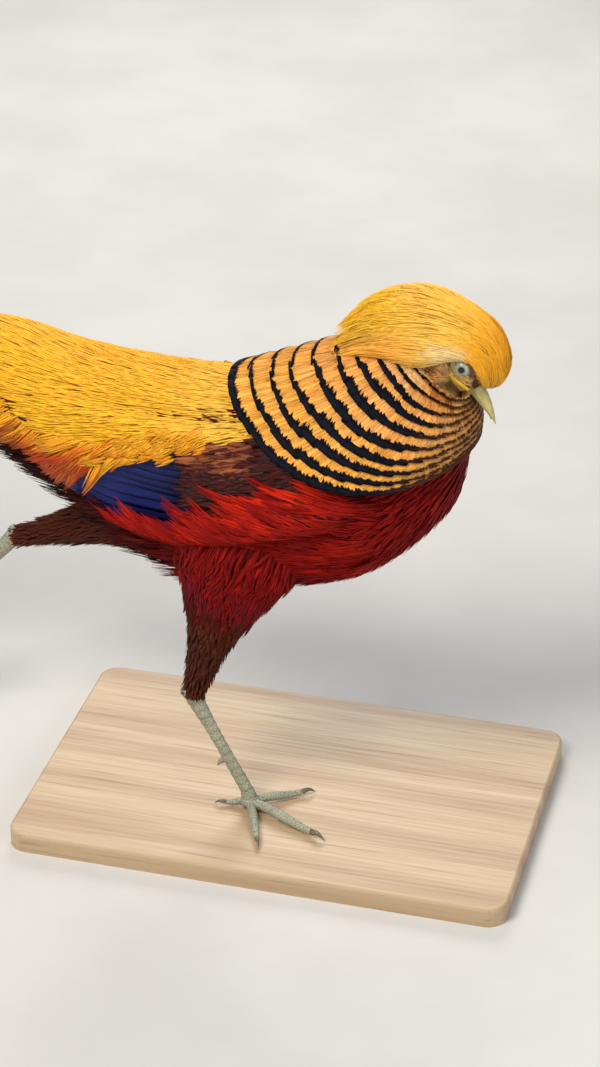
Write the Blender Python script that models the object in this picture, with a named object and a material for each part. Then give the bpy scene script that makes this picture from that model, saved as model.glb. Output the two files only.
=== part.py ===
"""Golden pheasant cock at life size, running on its right foot over a plain display base.

Metres. +X is the way the bird runs, +Y its left side, +Z up.
The origin is under the middle of the display base, on the surface that the base rests on.
"""

import math
import random

import bmesh
import bpy
import numpy as np
from mathutils import Matrix, Vector
from mathutils.bvhtree import BVHTree

# Clearance between nodes that touch.
GAP = 0.0003
# The shortest edge that a fused node keeps, and the least height of its triangles.
SHORTEST_EDGE = 0.00001
LEAST_HEIGHT = 0.000002

# Display base.
BASE_LENGTH = 0.300
BASE_WIDTH = 0.190
BASE_THICKNESS = 0.012
BASE_CORNER = 0.012
BASE_EDGE = 0.0015

# Torso sections, rump to breast: x, centre height, half width, rise above the centre, drop below it.
TORSO = (
    (-0.206, 0.2770, 0.0215, 0.0195, 0.0220),
    (-0.190, 0.2725, 0.0285, 0.0258, 0.0300),
    (-0.163, 0.2650, 0.0355, 0.0315, 0.0400),
    (-0.126, 0.2530, 0.0410, 0.0340, 0.0540),
    (-0.080, 0.2415, 0.0460, 0.0405, 0.0760),
    (-0.040, 0.2330, 0.0495, 0.0490, 0.0800),
    (0.005, 0.2310, 0.0510, 0.0520, 0.0740),
    (0.045, 0.2350, 0.0500, 0.0490, 0.0650),
    (0.075, 0.2420, 0.0440, 0.0420, 0.0480),
    (0.094, 0.2490, 0.0320, 0.0310, 0.0310),
    (0.1025, 0.2530, 0.0170, 0.0165, 0.0170),
)
TORSO_FRONT = Vector((0.1050, 0.0, 0.2540))
TORSO_SIDES = 28
TORSO_STEPS = 2

# Loops of the cape round the neck, from the head to the rim:
# x and z on the nape, x and z on the throat, half width, how far the sides hang.
CAPE = (
    (0.064, 0.3270, 0.100, 0.2880, 0.0180, 0.002),
    (0.040, 0.3170, 0.104, 0.2810, 0.0360, 0.008),
    (0.003, 0.3010, 0.107, 0.2720, 0.0520, 0.016),
    (-0.034, 0.2865, 0.107, 0.2620, 0.0605, 0.023),
)
CAPE_SIDES = 20
CAPE_CORE_LOOPS = 5
CAPE_RIM = len(CAPE) - 1.0
# The flesh and down of the neck end before the rim, at half the feathers' depth or less.
CAPE_CORE_END = 2.3
CAPE_CORE_DEPTH = 0.0020
CAPE_CORE_SLOPE = 0.0034
# Rows of cape feathers: loop place of the tips, number of feathers.
CAPE_ROWS = ((0.66, 10), (1.20, 11), (1.74, 12), (2.28, 13), (2.64, 13), (3.00, 14))
CAPE_FEATHER_REACH = 1.16
# How far the lowest row of the cape lies over the torso, and each row over the next.
CAPE_CLEAR = 0.0018
CAPE_LAYER = 0.0019
CAPE_SPREAD = math.radians(152)

# Head: its middle between the eyes and how far the bill points down.
HEAD_MIDDLE = Vector((0.0985, 0.0, 0.3095))
HEAD_PITCH = math.radians(60)
# Head sections in its own frame, nape to bill: along, centre height, half width, rise, drop.
HEAD = (
    (-0.0235, 0.0010, 0.0070, 0.0070, 0.0075),
    (-0.0180, 0.0015, 0.0120, 0.0120, 0.0130),
    (-0.0080, 0.0020, 0.0146, 0.0150, 0.0158),
    (0.0020, 0.0015, 0.0140, 0.0145, 0.0150),
    (0.0100, 0.0000, 0.0112, 0.0118, 0.0122),
    (0.0160, -0.0020, 0.0078, 0.0082, 0.0084),
)
HEAD_BACK = -0.0255
FACE_AT = 0.0170
FACE_ROUND = 0.0005
HEAD_SIDES = 20

EYE_AT = Vector((0.0000, 0.0090, 0.0008))
EYE_RADIUS = 0.0062
EYE_SIDES = 14
EYE_RINGS = 8
LID_RADIUS = 0.0054
LID_THICKNESS = 0.0010
LID_OUT = 0.0126
WATTLE_AT = Vector((0.0056, 0.0100, -0.0058))
WATTLE_HALF = Vector((0.0058, 0.0024, 0.0026))

# Bill in the head's frame.
BILL_LENGTH = 0.0240
BILL_HALF_WIDTH = 0.0046
BILL_RISE = 0.0052
BILL_DROP = 0.0050
BILL_HOOK = 0.0030
BILL_LIFT = 0.0020
BILL_MOUTH = -0.0040
LOWER_BILL_SHARE = 0.86
NOSTRIL_AT = Vector((0.0062, 0.0040, 0.0012))
NOSTRIL_HALF = Vector((0.0018, 0.0010, 0.0007))

# Crest, forehead to nape: x and z of its midline, x and z of its root line, half width.
CREST = (
    (0.1185, 0.2945, 0.1095, 0.2985, 0.0060),
    (0.1225, 0.3035, 0.1080, 0.3065, 0.0105),
    (0.1230, 0.3170, 0.1045, 0.3140, 0.0140),
    (0.1140, 0.3330, 0.0975, 0.3200, 0.0180),
    (0.0950, 0.3425, 0.0880, 0.3230, 0.0215),
    (0.0720, 0.3465, 0.0730, 0.3235, 0.0240),
    (0.0490, 0.3395, 0.0540, 0.3215, 0.0225),
    (0.0290, 0.3225, 0.0330, 0.3130, 0.0150),
)
CREST_SIDES = 10
CREST_STATIONS = 7
CREST_CORE = 0.45
# Tiers of crest plumes: place of the roots, place of the tips, number, angle of the outermost one from
# the midline.
CREST_TIERS = (
    (0.15, 2.6, 5, 64),
    (1.10, 4.0, 6, 76),
    (2.20, 5.4, 6, 80),
    (3.30, 6.5, 6, 80),
    (4.20, 7.0, 5, 74),
)

# Wing: where it starts and ends along the body, and how far round from straight up its edges are, front
# and back.
WING_FRONT = 0.052
WING_BACK = -0.128
WING_TOP = (math.radians(54), math.radians(72))
WING_LOW = (math.radians(90), math.radians(130))
WING_THICKNESS = 0.0078
WING_RIM = 0.0058
WING_SUNK = 0.0010
WING_CORE_END = 0.54
WING_CORE_THICKNESS = 0.0030
# Tiers of wing feathers, lowest first: number, place across the wing of the first and last,
# place along it of the roots, of the first tip and of the last tip, height of the tips.
WING_TIERS = (
    (4, 0.72, 0.96, 0.46, 1.00, 0.86, 0.0014),
    (5, 0.34, 0.74, 0.45, 0.97, 0.97, 0.0024),
    (3, 0.06, 0.38, 0.42, 0.84, 0.94, 0.0036),
    (5, 0.10, 0.92, 0.25, 0.60, 0.54, 0.0040),
    (4, 0.12, 0.88, 0.06, 0.36, 0.32, 0.0050),
)

# Tail: its root, its rise at the root and at the tip, and its longest feathers.
TAIL_ROOT = Vector((-0.206, 0.0, 0.2765))
TAIL_RISE_ROOT = math.radians(17)
TAIL_RISE_TIP = math.radians(3)
TAIL_LENGTH = 0.690
TAIL_STUMP = 0.046
# Pairs of tail feathers, from the middle pair out: length, half width, sections along it.
TAIL_PAIRS = (
    (TAIL_LENGTH, 0.0235, 8),
    (0.570, 0.0220, 7),
    (0.450, 0.0200, 6),
    (0.360, 0.0180, 6),
    (0.290, 0.0165, 5),
    (0.240, 0.0150, 5),
    (0.200, 0.0140, 5),
    (0.170, 0.0130, 4),
    (0.145, 0.0120, 4),
)
# Each half of the tail slopes like a roof, and each pair lies under the one before it.
TAIL_SLOPE = math.radians(38)
TAIL_LAYER = 0.0019
TAIL_STEP_OUT = 0.0022
TAIL_SPLAY = math.radians(0.7)
# The ridge of the tail starts this much over its line, and comes down to it along this length.
TAIL_RIDGE = 0.0115
TAIL_RIDGE_LENGTH = 0.300
# Where the tail feathers are rooted in the stump, and how thick they are there.
TAIL_FEATHER_ROOT = 0.012
TAIL_THICK = 0.0011
# Long narrow plumes over the root of the tail, on each side.
TAIL_COVERTS = 5
TAIL_COVERT_ROOT = 0.009
TAIL_COVERT_LENGTH = 0.170
TAIL_COVERT_WIDTH = 0.0044
TAIL_COVERT_STEP = 0.0092
TAIL_COVERT_NARROW = 0.45

# A vane's thickness at its root and its tip, its clearance over other nodes, and how far each edge of a
# broad vane lies over or under its middle, so that it overlaps the next vane of its row.
VANE_THICK = 0.0008
VANE_THIN = 0.0005
VANE_CLEAR = 0.0009
VANE_TILT = 0.00065
# How deep a vane's root is sunk into the flesh.
ROOT_SUNK = 0.0022
# A vane's width as a share of the room between neighbours in its row: overlapping, or side by side.
OVERLAPPING = 1.20
SEPARATE = 0.94
# How steeply feathers come up from their roots: the cape's, the wing's and the crest's.
CAPE_RISE = 1.5
WING_RISE = 1.2
CREST_RISE = 2.0
SEED = 11

# Legs.
ANKLE_RIGHT = Vector((-0.0516, -0.0320, 0.0854))
FOOT_RIGHT = Vector((-0.0174, -0.0320, 0.0205))
KNEE_RIGHT = Vector((-0.0240, -0.0340, 0.1850))
ANKLE_LEFT = Vector((-0.1840, 0.0320, 0.1370))
KNEE_LEFT = Vector((-0.0650, 0.0300, 0.1800))
HIP_RIGHT = Vector((-0.0130, -0.0300, 0.2150))
HIP_LEFT = Vector((-0.0300, 0.0280, 0.2050))
SHANK_LENGTH = 0.0740
SHANK_LEFT_TURN = math.radians(50)
# The feathered leg from the knee to the ankle: half width across the bird and along it.
THIGH = (
    (0.0200, 0.0360),
    (0.0185, 0.0295),
    (0.0160, 0.0220),
    (0.0122, 0.0155),
    (0.0094, 0.0114),
    (0.0070, 0.0085),
    (0.0052, 0.0062),
)
THIGH_SIDES = 16
# The bare shank from the ankle to the toes, measured the same way.
SHANK = (
    (0.0046, 0.0058),
    (0.0038, 0.0050),
    (0.0030, 0.0041),
    (0.0028, 0.0038),
    (0.0028, 0.0038),
    (0.0033, 0.0039),
    (0.0038, 0.0038),
)
# Toes: angle from straight ahead towards the outer side, length and radius at the root.
TOES = {
    "middle": (25, 0.0470, 0.0034),
    "outer": (68, 0.0360, 0.0030),
    "inner": (-34, 0.0320, 0.0030),
    "hind": (170, 0.0140, 0.0024),
}
TOE_SIDES = 8
TOE_PADS = (1.0, 0.90, 0.98, 0.82, 0.64)
# From the foot's middle down to the soles, which the ground presses a little flat.
FOOT_SOLE = 0.0084
SHANK_START = 0.0020
SHANK_END = 0.0010
CLAW_LENGTH = 0.0095
SPUR_LENGTH = 0.0075
SHANK_SIDES = 14

COLOURS = {
    "gold": ((0.80, 0.42, 0.045, 1), 0.45),
    "red": ((0.42, 0.018, 0.014, 1), 0.60),
    "orange": ((0.83, 0.33, 0.065, 1), 0.50),
    "tail": ((0.20, 0.075, 0.024, 1), 0.55),
    "wing": ((0.018, 0.030, 0.160, 1), 0.45),
    "brown": ((0.085, 0.024, 0.011, 1), 0.70),
    "scale": ((0.36, 0.37, 0.28, 1), 0.45),
    "horn": ((0.50, 0.42, 0.17, 1), 0.35),
    "claw": ((0.13, 0.10, 0.065, 1), 0.35),
    "iris": ((0.72, 0.74, 0.60, 1), 0.10),
    "wood": ((0.52, 0.38, 0.24, 1), 0.55),
}


def clear_scene():
    for old in list(bpy.data.objects):
        bpy.data.objects.remove(old)


def material(name):
    colour, roughness = COLOURS[name]
    made = bpy.data.materials.get(name) or bpy.data.materials.new(name)
    made.use_nodes = True
    made.diffuse_color = colour
    shader = made.node_tree.nodes["Principled BSDF"]
    shader.inputs["Base Color"].default_value = colour
    shader.inputs["Roughness"].default_value = roughness
    shader.inputs["Metallic"].default_value = 0.0
    return made


def between(rows, t):
    """The row at place t along a list of rows, on a smooth curve through them."""
    rows = np.asarray(rows, float)
    t = min(max(t, 0.0), len(rows) - 1.0)
    k = min(int(t), len(rows) - 2)
    f = t - k
    a, b = rows[k], rows[k + 1]
    before = rows[k - 1] if k > 0 else 2 * a - b
    after = rows[k + 2] if k + 2 < len(rows) else 2 * b - a
    slope_a = (b - before) / 2
    slope_b = (after - a) / 2
    return (
        (2 * f**3 - 3 * f**2 + 1) * a
        + (f**3 - 2 * f**2 + f) * slope_a
        + (3 * f**2 - 2 * f**3) * b
        + (f**3 - f**2) * slope_b
    )


def steps(low, high, count):
    return [low + (high - low) * i / (count - 1) for i in range(count)]


def ease(t):
    t = min(max(t, 0.0), 1.0)
    return t * t * (3 - 2 * t)


def closed_mesh(points, faces):
    """A mesh of these points and faces, with its faces pointing out."""
    made = bmesh.new()
    verts = [made.verts.new(p) for p in points]
    for face in faces:
        made.faces.new([verts[i] for i in face])
    bmesh.ops.recalc_face_normals(made, faces=made.faces)
    mesh = bpy.data.meshes.new("shape")
    made.to_mesh(mesh)
    made.free()
    return mesh


def centre(points):
    return sum(points, Vector()) / len(points)


def loft(rings, start=None, end=None):
    """A closed mesh through rings of points, with a point to end at, or else a flat cap."""
    sides = len(rings[0])
    points = [p for ring in rings for p in ring]
    faces = []
    for k in range(len(rings) - 1):
        low, high = k * sides, (k + 1) * sides
        for i in range(sides):
            j = (i + 1) % sides
            faces.append((low + i, low + j, high + j, high + i))
    last = (len(rings) - 1) * sides
    for pole, first in ((start, 0), (end, last)):
        points.append(centre(points[first : first + sides]) if pole is None else pole)
        for i in range(sides):
            faces.append((first + i, first + (i + 1) % sides, len(points) - 1))
    return closed_mesh(points, faces)


def new_object(name, mesh):
    made = bpy.data.objects.new(name, mesh)
    bpy.context.scene.collection.objects.link(made)
    return made


def finish(obj, colour, smooth_angle=50):
    obj.data.materials.clear()
    obj.data.materials.append(material(colour))
    obj.data.shade_smooth()
    obj.data.set_sharp_from_angle(angle=math.radians(smooth_angle))
    return obj


def evaluated_mesh(obj):
    bpy.context.view_layer.update()
    graph = bpy.context.evaluated_depsgraph_get()
    return bpy.data.meshes.new_from_object(obj.evaluated_get(graph))


def neighbours(vert):
    return {edge.other_vert(vert) for edge in vert.link_edges}


def draw_together(made):
    """Closes up the shortest edges, where that leaves the surface whole."""
    for edge in list(made.edges):
        if not edge.is_valid or edge.calc_length() > SHORTEST_EDGE:
            continue
        first, second = edge.verts
        if len(neighbours(first) & neighbours(second)) == 2:
            bmesh.ops.weld_verts(made, targetmap={first: second})


def turn_slivers(made):
    """Turns the longest edge of each triangle that is nearly a line."""
    for face in list(made.faces):
        if not face.is_valid:
            continue
        edge = max(face.edges, key=lambda edge: edge.calc_length())
        if face.calc_area() * 2 > LEAST_HEIGHT * edge.calc_length() or len(edge.link_faces) != 2:
            continue
        corners = [vert for side in edge.link_faces for vert in side.verts if vert not in edge.verts]
        if corners[1] not in neighbours(corners[0]):
            bmesh.utils.edge_rotate(edge)


def largest_shell(mesh):
    """Keeps the largest connected surface of a mesh, in sound triangles."""
    made = bmesh.new()
    made.from_mesh(mesh)
    bmesh.ops.triangulate(made, faces=made.faces)
    for _ in range(3):
        draw_together(made)
        turn_slivers(made)
    left = set(made.faces)
    shells = []
    while left:
        todo = [left.pop()]
        shell = list(todo)
        while todo:
            for edge in todo.pop().edges:
                for face in edge.link_faces:
                    if face in left:
                        left.remove(face)
                        todo.append(face)
                        shell.append(face)
        shells.append(shell)
    shells.sort(key=lambda shell: sum(f.calc_area() for f in shell))
    loose = [face for shell in shells[:-1] for face in shell]
    bmesh.ops.delete(made, geom=loose, context="FACES")
    made.to_mesh(mesh)
    made.free()


def combine(obj, others, operation, solver="EXACT"):
    """Applies one Boolean with a list of objects, then removes them."""
    group = bpy.data.collections.new("operands")
    bpy.context.scene.collection.children.link(group)
    for other in others:
        bpy.context.scene.collection.objects.unlink(other)
        group.objects.link(other)
    step = obj.modifiers.new("combine", "BOOLEAN")
    step.operation = operation
    step.solver = solver
    step.operand_type = "COLLECTION"
    step.collection = group
    mesh = evaluated_mesh(obj)
    obj.modifiers.clear()
    obj.data = mesh
    for other in list(group.objects):
        bpy.data.objects.remove(other)
    bpy.data.collections.remove(group)
    largest_shell(obj.data)
    return obj


def fuse(obj, pieces, solver="EXACT"):
    return combine(obj, pieces, "UNION", solver)


def cut(obj, cutters, solver="EXACT"):
    return combine(obj, cutters, "DIFFERENCE", solver)


def block(middle, half, rotation=None):
    """A box used as a cutter."""
    mesh = bpy.data.meshes.new("block")
    made = bmesh.new()
    bmesh.ops.create_cube(made, size=2.0)
    made.to_mesh(mesh)
    made.free()
    place = Matrix.Translation(middle)
    if rotation is not None:
        place = place @ rotation.to_4x4()
    mesh.transform(place @ Matrix.Diagonal((*half, 1.0)))
    return new_object("block", mesh)


def ball(middle, half, around=18, rings=10):
    """An ellipsoid, with half sizes along X, Y and Z."""
    mesh = bpy.data.meshes.new("ball")
    made = bmesh.new()
    bmesh.ops.create_uvsphere(made, u_segments=around, v_segments=rings, radius=1.0)
    made.to_mesh(mesh)
    made.free()
    mesh.transform(Matrix.Translation(middle) @ Matrix.Diagonal((*half, 1.0)))
    return mesh


def tube(path, radii, sides, side_axis, start=None, end=None):
    """A closed tube along a path. Each radius is (sideways, the other way); side_axis points sideways."""
    rings = []
    for k, place in enumerate(path):
        along = (path[min(k + 1, len(path) - 1)] - path[max(k - 1, 0)]).normalized()
        other = along.cross(side_axis).normalized()
        sideways = other.cross(along).normalized()
        wide, deep = radii[k]
        ring = []
        for i in range(sides):
            angle = 2 * math.pi * i / sides
            ring.append(place + sideways * (wide * math.cos(angle)) + other * (deep * math.sin(angle)))
        rings.append(ring)
    return loft(rings, start, end)


def skin_pair(outer, inner, rows, columns):
    """A closed thin solid from two grids of points, split into triangles alike on both faces."""
    points = outer + inner
    shift = len(outer)
    faces = []
    for i in range(rows - 1):
        for j in range(columns - 1):
            a = i * columns + j
            b, c, d = a + 1, a + columns + 1, a + columns
            faces += [(a, b, c), (a, c, d)]
            faces += [(shift + a, shift + c, shift + b), (shift + a, shift + d, shift + c)]
    edge = list(range(columns))
    edge += [i * columns + columns - 1 for i in range(1, rows)]
    edge += [(rows - 1) * columns + j for j in range(columns - 2, -1, -1)]
    edge += [i * columns for i in range(rows - 2, 0, -1)]
    for k, a in enumerate(edge):
        b = edge[(k + 1) % len(edge)]
        faces += [(a, shift + a, shift + b), (a, shift + b, b)]
    return closed_mesh(points, faces)


# The two edges of a vane.
EDGES = (-1, 1)
# Outlines of feathers, root to tip: share of the length, share of the half width.
BROAD = ((0.0, 0.40), (0.66, 1.0), (1.0, 0.55))
ROUND = ((0.0, 0.50), (0.40, 1.0), (0.86, 1.0), (1.0, 0.40))
PLUME = ((0.0, 0.50), (0.34, 1.0), (0.70, 0.90), (1.0, 0.14))


def surface_tree(obj):
    """The surface of a finished node, to keep other pieces clear of it."""
    points = [v.co for v in obj.data.vertices]
    return BVHTree.FromPolygons(points, [p.vertices[:] for p in obj.data.polygons])


def lifted(point, outward, trees, clear):
    """The point, moved outward where it would come too near another node."""
    far = 0.03
    move = 0.0
    for tree in trees:
        hit = tree.ray_cast(point + outward * far, -outward, far + 0.02)[0]
        if hit is not None:
            move = max(move, clear - (point - hit).dot(outward))
    return point + outward * move


def vane_normal(points, k, outward):
    """The direction square to a vane at one of its points, on the side that faces outward."""
    row = k // 2
    last = len(points) // 2 - 1
    along = points[2 * min(row + 1, last) + k % 2] - points[2 * max(row - 1, 0) + k % 2]
    across = points[2 * row + 1] - points[2 * row]
    normal = along.cross(across).normalized()
    return normal if normal.dot(outward) > 0 else -normal


def laid_vane(surface, root, tip, depth, pitch, outline, trees, clear, rise, high=0.0, fill=SEPARATE):
    """A feather laid along a surface, from its root below it out to its tip at a height over it. Root and
    tip are (place, turn), and pitch is the turn from one feather of its row to the next."""
    tilt = VANE_TILT if fill > 1 else 0.0
    inner, outward = [], []
    for share, width in outline:
        place = root[0] + (tip[0] - root[0]) * share
        turn = root[1] + (tip[1] - root[1]) * share
        out = high - depth * (1 - share) ** rise
        step = pitch / 2 * fill * width
        for side in EDGES:
            top = surface(place, turn + side * step, out)
            away = (surface(place, turn + side * step, out + 0.001) - top).normalized()
            raised = away * (tilt * (1 + side) * (0.6 + 0.4 * share))
            inner.append(lifted(top - away * VANE_THICK, away, trees, clear) + raised)
            outward.append(away)
    outer = []
    for k, low in enumerate(inner):
        share = outline[k // 2][0]
        thick = VANE_THICK + (VANE_THIN - VANE_THICK) * share
        outer.append(low + vane_normal(inner, k, outward[k]) * thick)
    return new_object("vane", skin_pair(outer, inner, len(outline), len(EDGES)))


# Torso


TORSO_PLACES = np.linspace(0, len(TORSO) - 1, 161)
TORSO_ALONG = [between(TORSO, t)[0] for t in TORSO_PLACES]


def torso_place(x):
    """The place along the torso sections whose x is given."""
    return float(np.interp(x, TORSO_ALONG, TORSO_PLACES))


def torso_point(t, angle, out=0.0):
    """A point on the torso at section place t and angle from straight up, positive on the left side."""

    def surface(place, turn):
        x, middle, half_width, rise, drop = between(TORSO, place)
        height = rise if math.cos(turn) > 0 else drop
        return Vector((x, half_width * math.sin(turn), middle + height * math.cos(turn)))

    here = surface(t, angle)
    if not out:
        return here
    small = 0.02
    along = surface(t + small, angle) - surface(t - small, angle)
    around = surface(t, angle + small) - surface(t, angle - small)
    return here + along.cross(around).normalized() * out


def torso_shape(out=0.0):
    """The torso, or the torso swollen by a small amount."""
    places = steps(0, len(TORSO) - 1, (len(TORSO) - 1) * TORSO_STEPS + 1)
    turns = [2 * math.pi * i / TORSO_SIDES for i in range(TORSO_SIDES)]
    rings = [[torso_point(t, turn, out) for turn in turns] for t in places]
    front = TORSO_FRONT + Vector((out, 0, 0))
    return loft(rings, None, front)


def make_torso():
    return finish(new_object("torso", torso_shape()), "red")


# Wings


def wing_point(u, v, out):
    """A point of the right wing, at shares of its length and of its breadth, at a height over the torso."""
    top = WING_TOP[0] + (WING_TOP[1] - WING_TOP[0]) * u
    low = WING_LOW[0] + (WING_LOW[1] - WING_LOW[0]) * u
    x = WING_FRONT + (WING_BACK - WING_FRONT) * u
    return torso_point(torso_place(x), -(top + (low - top) * v), out)


def mirrored(point, side):
    return Vector((point.x, -side * point.y, point.z))


def wing_shape(side, swell=0.0, end=1.0, thickness=WING_THICKNESS, rim=WING_RIM):
    """The folded wing as one smooth form on the torso, or its front part alone."""
    rows, columns = 9, 5
    margin = 0.0 if end < 1.0 else 0.10
    outer, inner = [], []
    for share in steps(0, 1, rows):
        u = -margin * 0.3 + (end + margin * 0.3) * share
        u += (2 * share - 1) * swell * 4
        breadth = math.sqrt(max(0.0, 1 - abs(2 * share - 1) ** 3)) * 0.84 + 0.16
        for v in steps(-1, 1, columns):
            across = 0.5 + (0.5 + margin + swell * 12) * breadth * v
            bulge = math.sqrt(max(0.0, 1 - v**4)) * math.sin(math.pi * min(max(share, 0.04), 0.96)) ** 0.35
            out = rim + (thickness - rim) * bulge + swell
            outer.append(mirrored(wing_point(u, across, out), side))
            inner.append(mirrored(wing_point(u, across, -WING_SUNK - swell), side))
    return skin_pair(outer, inner, rows, columns)


def wing_feathers(side, trees):
    """The folded wing's feathers in tiers, from the long ones underneath to the shoulder feathers on top."""
    draw = random.Random(SEED)

    def surface(u, v, out):
        return mirrored(wing_point(u, v, out), side)

    feathers = []
    for count, v_first, v_last, u_root, u_first, u_last, height in WING_TIERS:
        pitch = (v_last - v_first) / (count - 1)
        for k in range(count):
            share = k / (count - 1)
            v = v_first + (v_last - v_first) * share
            tip = u_first + (u_last - u_first) * share + draw.uniform(-0.012, 0.012)
            depth = height - WING_CORE_THICKNESS * 0.55
            ends = (u_root, v), (tip, v)
            lie = VANE_CLEAR, WING_RISE, height, OVERLAPPING
            feathers.append(laid_vane(surface, *ends, depth, pitch, ROUND, trees, *lie))
    return feathers


def make_wing(name, side, trees):
    core = wing_shape(side, 0.0, WING_CORE_END, WING_CORE_THICKNESS, WING_CORE_THICKNESS * 0.5)
    wing = new_object(name, core)
    cut(wing, [new_object("cutter", torso_shape(GAP))])
    fuse(wing, wing_feathers(side, trees), "MANIFOLD")
    return finish(wing, "wing")


# Neck and cape


def cape_point(t, turn, out=0.0):
    """A point of the cape's surface at loop place t and angle from the nape."""

    def surface(place, angle):
        nape_x, nape_z, throat_x, throat_z, half_width, sag = between(CAPE, place)
        share = math.cos(angle)
        x = (nape_x + throat_x) / 2 + (nape_x - throat_x) / 2 * share
        z = (nape_z + throat_z) / 2 + (nape_z - throat_z) / 2 * share
        return Vector((x, half_width * math.sin(angle), z - sag * math.sin(angle) ** 2))

    here = surface(t, turn)
    if not out:
        return here
    small = 0.02
    low, high = max(t - small, 0.0), min(t + small, len(CAPE) - 1.0)
    along = surface(high, turn) - surface(low, turn)
    around = surface(t, turn + small) - surface(t, turn - small)
    return here + around.cross(along).normalized() * out


def neck_plane():
    """A point on the cut between neck and head, and the direction towards the head."""
    nape_x, nape_z, throat_x, throat_z = CAPE[0][:4]
    middle = Vector(((nape_x + throat_x) / 2, 0, (nape_z + throat_z) / 2))
    span = Vector((nape_x - throat_x, 0, nape_z - throat_z)).normalized()
    return middle, Vector((span.z, 0, -span.x))


def cape_loop(t, out=0.0):
    return [cape_point(t, 2 * math.pi * i / CAPE_SIDES, out) for i in range(CAPE_SIDES)]


def cape_shape(last, out=0.0):
    """The whole cape as one smooth form."""
    rings = [cape_loop(t, out) for t in steps(0, last, 12)]
    if out:
        ahead = neck_plane()[1]
        rings.insert(0, [p + ahead * out for p in rings[0]])
    return loft(rings)


def core_depth(t):
    return CAPE_CORE_DEPTH + CAPE_CORE_SLOPE * t


def neck_core():
    """The neck under its cape of feathers."""
    return loft([cape_loop(t, -core_depth(t)) for t in steps(0, CAPE_CORE_END, CAPE_CORE_LOOPS)])


def cape_feathers(trees):
    """Rows of broad feathers round the neck, each row over the next and staggered against it."""
    draw = random.Random(SEED)
    feathers = []
    for row, (tip, count) in enumerate(CAPE_ROWS):
        root = max(tip - CAPE_FEATHER_REACH, 0.03)
        depth = core_depth(min(root, CAPE_CORE_END)) + ROOT_SUNK
        pitch = 2 * CAPE_SPREAD / (count - 1 + row % 2)
        clear = CAPE_CLEAR + CAPE_LAYER * (len(CAPE_ROWS) - 1 - row)
        for k in range(count):
            turn = (k - (count - 1) / 2) * pitch
            end = min(tip + draw.uniform(-0.05, 0.05), CAPE_RIM)
            ends = (root, turn), (end, turn)
            feathers.append(laid_vane(cape_point, *ends, depth, pitch, BROAD, trees, clear, CAPE_RISE))
    return feathers


def make_neck(trees):
    neck = new_object("neck", neck_core())
    swollen = new_object("cutter", torso_shape(GAP))
    wings = [new_object("cutter", wing_shape(side, GAP)) for side in (-1, 1)]
    cut(neck, [swollen, *wings])
    fuse(neck, cape_feathers(trees), "MANIFOLD")
    return finish(neck, "orange")


def nape_shape():
    """The head's own part of the neck, from the cut between them up into the skull."""
    middle, ahead = neck_plane()
    rings = []
    for reach, width in ((GAP, 1.0), (0.005, 0.97), (0.010, 0.86), (0.015, 0.66)):
        drift = Vector((reach * 0.25, 0, -reach * 0.25))
        rings.append([middle + (p - middle) * width + ahead * reach + drift for p in cape_loop(0)])
    return loft(rings, None, middle + ahead * 0.019 + Vector((0.004, 0, -0.004)))


# Head


def head_matrix():
    """The head's own frame: X along the bill, Z to the crown."""
    return Matrix.Translation(HEAD_MIDDLE) @ Matrix.Rotation(HEAD_PITCH, 4, "Y")


def oval_ring(x, middle, half_width, rise, drop, sides):
    ring = []
    for i in range(sides):
        turn = 2 * math.pi * i / sides
        height = rise if math.cos(turn) > 0 else drop
        ring.append(Vector((x, half_width * math.sin(turn), middle + height * math.cos(turn))))
    return ring


def skull_shape():
    rings = []
    for t in steps(0, len(HEAD) - 1, (len(HEAD) - 1) * 2 + 1):
        rings.append(oval_ring(*between(HEAD, t), HEAD_SIDES))
    middle = HEAD[-1][1]
    half_width, rise, drop = (size - FACE_ROUND for size in HEAD[-1][2:])
    rings.append(oval_ring(FACE_AT, middle, half_width, rise, drop, HEAD_SIDES))
    return loft(rings, Vector((HEAD_BACK, 0, 0.001)), None)


def crest_point(t, turn, out=0.0, share=1.0):
    """A point of the crest's surface at place t from forehead to nape and angle from the midline."""
    top_x, top_z, root_x, root_z, half_width = between(CREST, t)
    root = Vector((root_x, 0, root_z))
    up = Vector((top_x, 0, top_z)) - root
    reach = up.length * share + out
    wide = half_width * (0.4 + 0.6 * share) * reach / (up.length * share)
    return root + up.normalized() * (reach * math.cos(turn)) + Vector((0, wide * math.sin(turn), 0))


def crest_shape(share=1.0):
    """The crest as one smooth form, or the skin and down under its plumes."""
    rings = []
    half_turn = CREST_SIDES // 2 + 1
    for t in steps(0, len(CREST) - 1.0 - (1 - share) * 2.6, CREST_STATIONS):
        ring = [crest_point(t, turn, 0.0, share) for turn in steps(-math.pi / 2, math.pi / 2, half_turn)]
        root = Vector((between(CREST, t)[2], 0, between(CREST, t)[3]))
        for place in reversed(ring[1:-1]):
            flat = Vector((root.x, place.y, root.z))
            ring.append(flat - (place - flat) * 0.15)
        rings.append(ring)
    return loft(rings)


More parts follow.
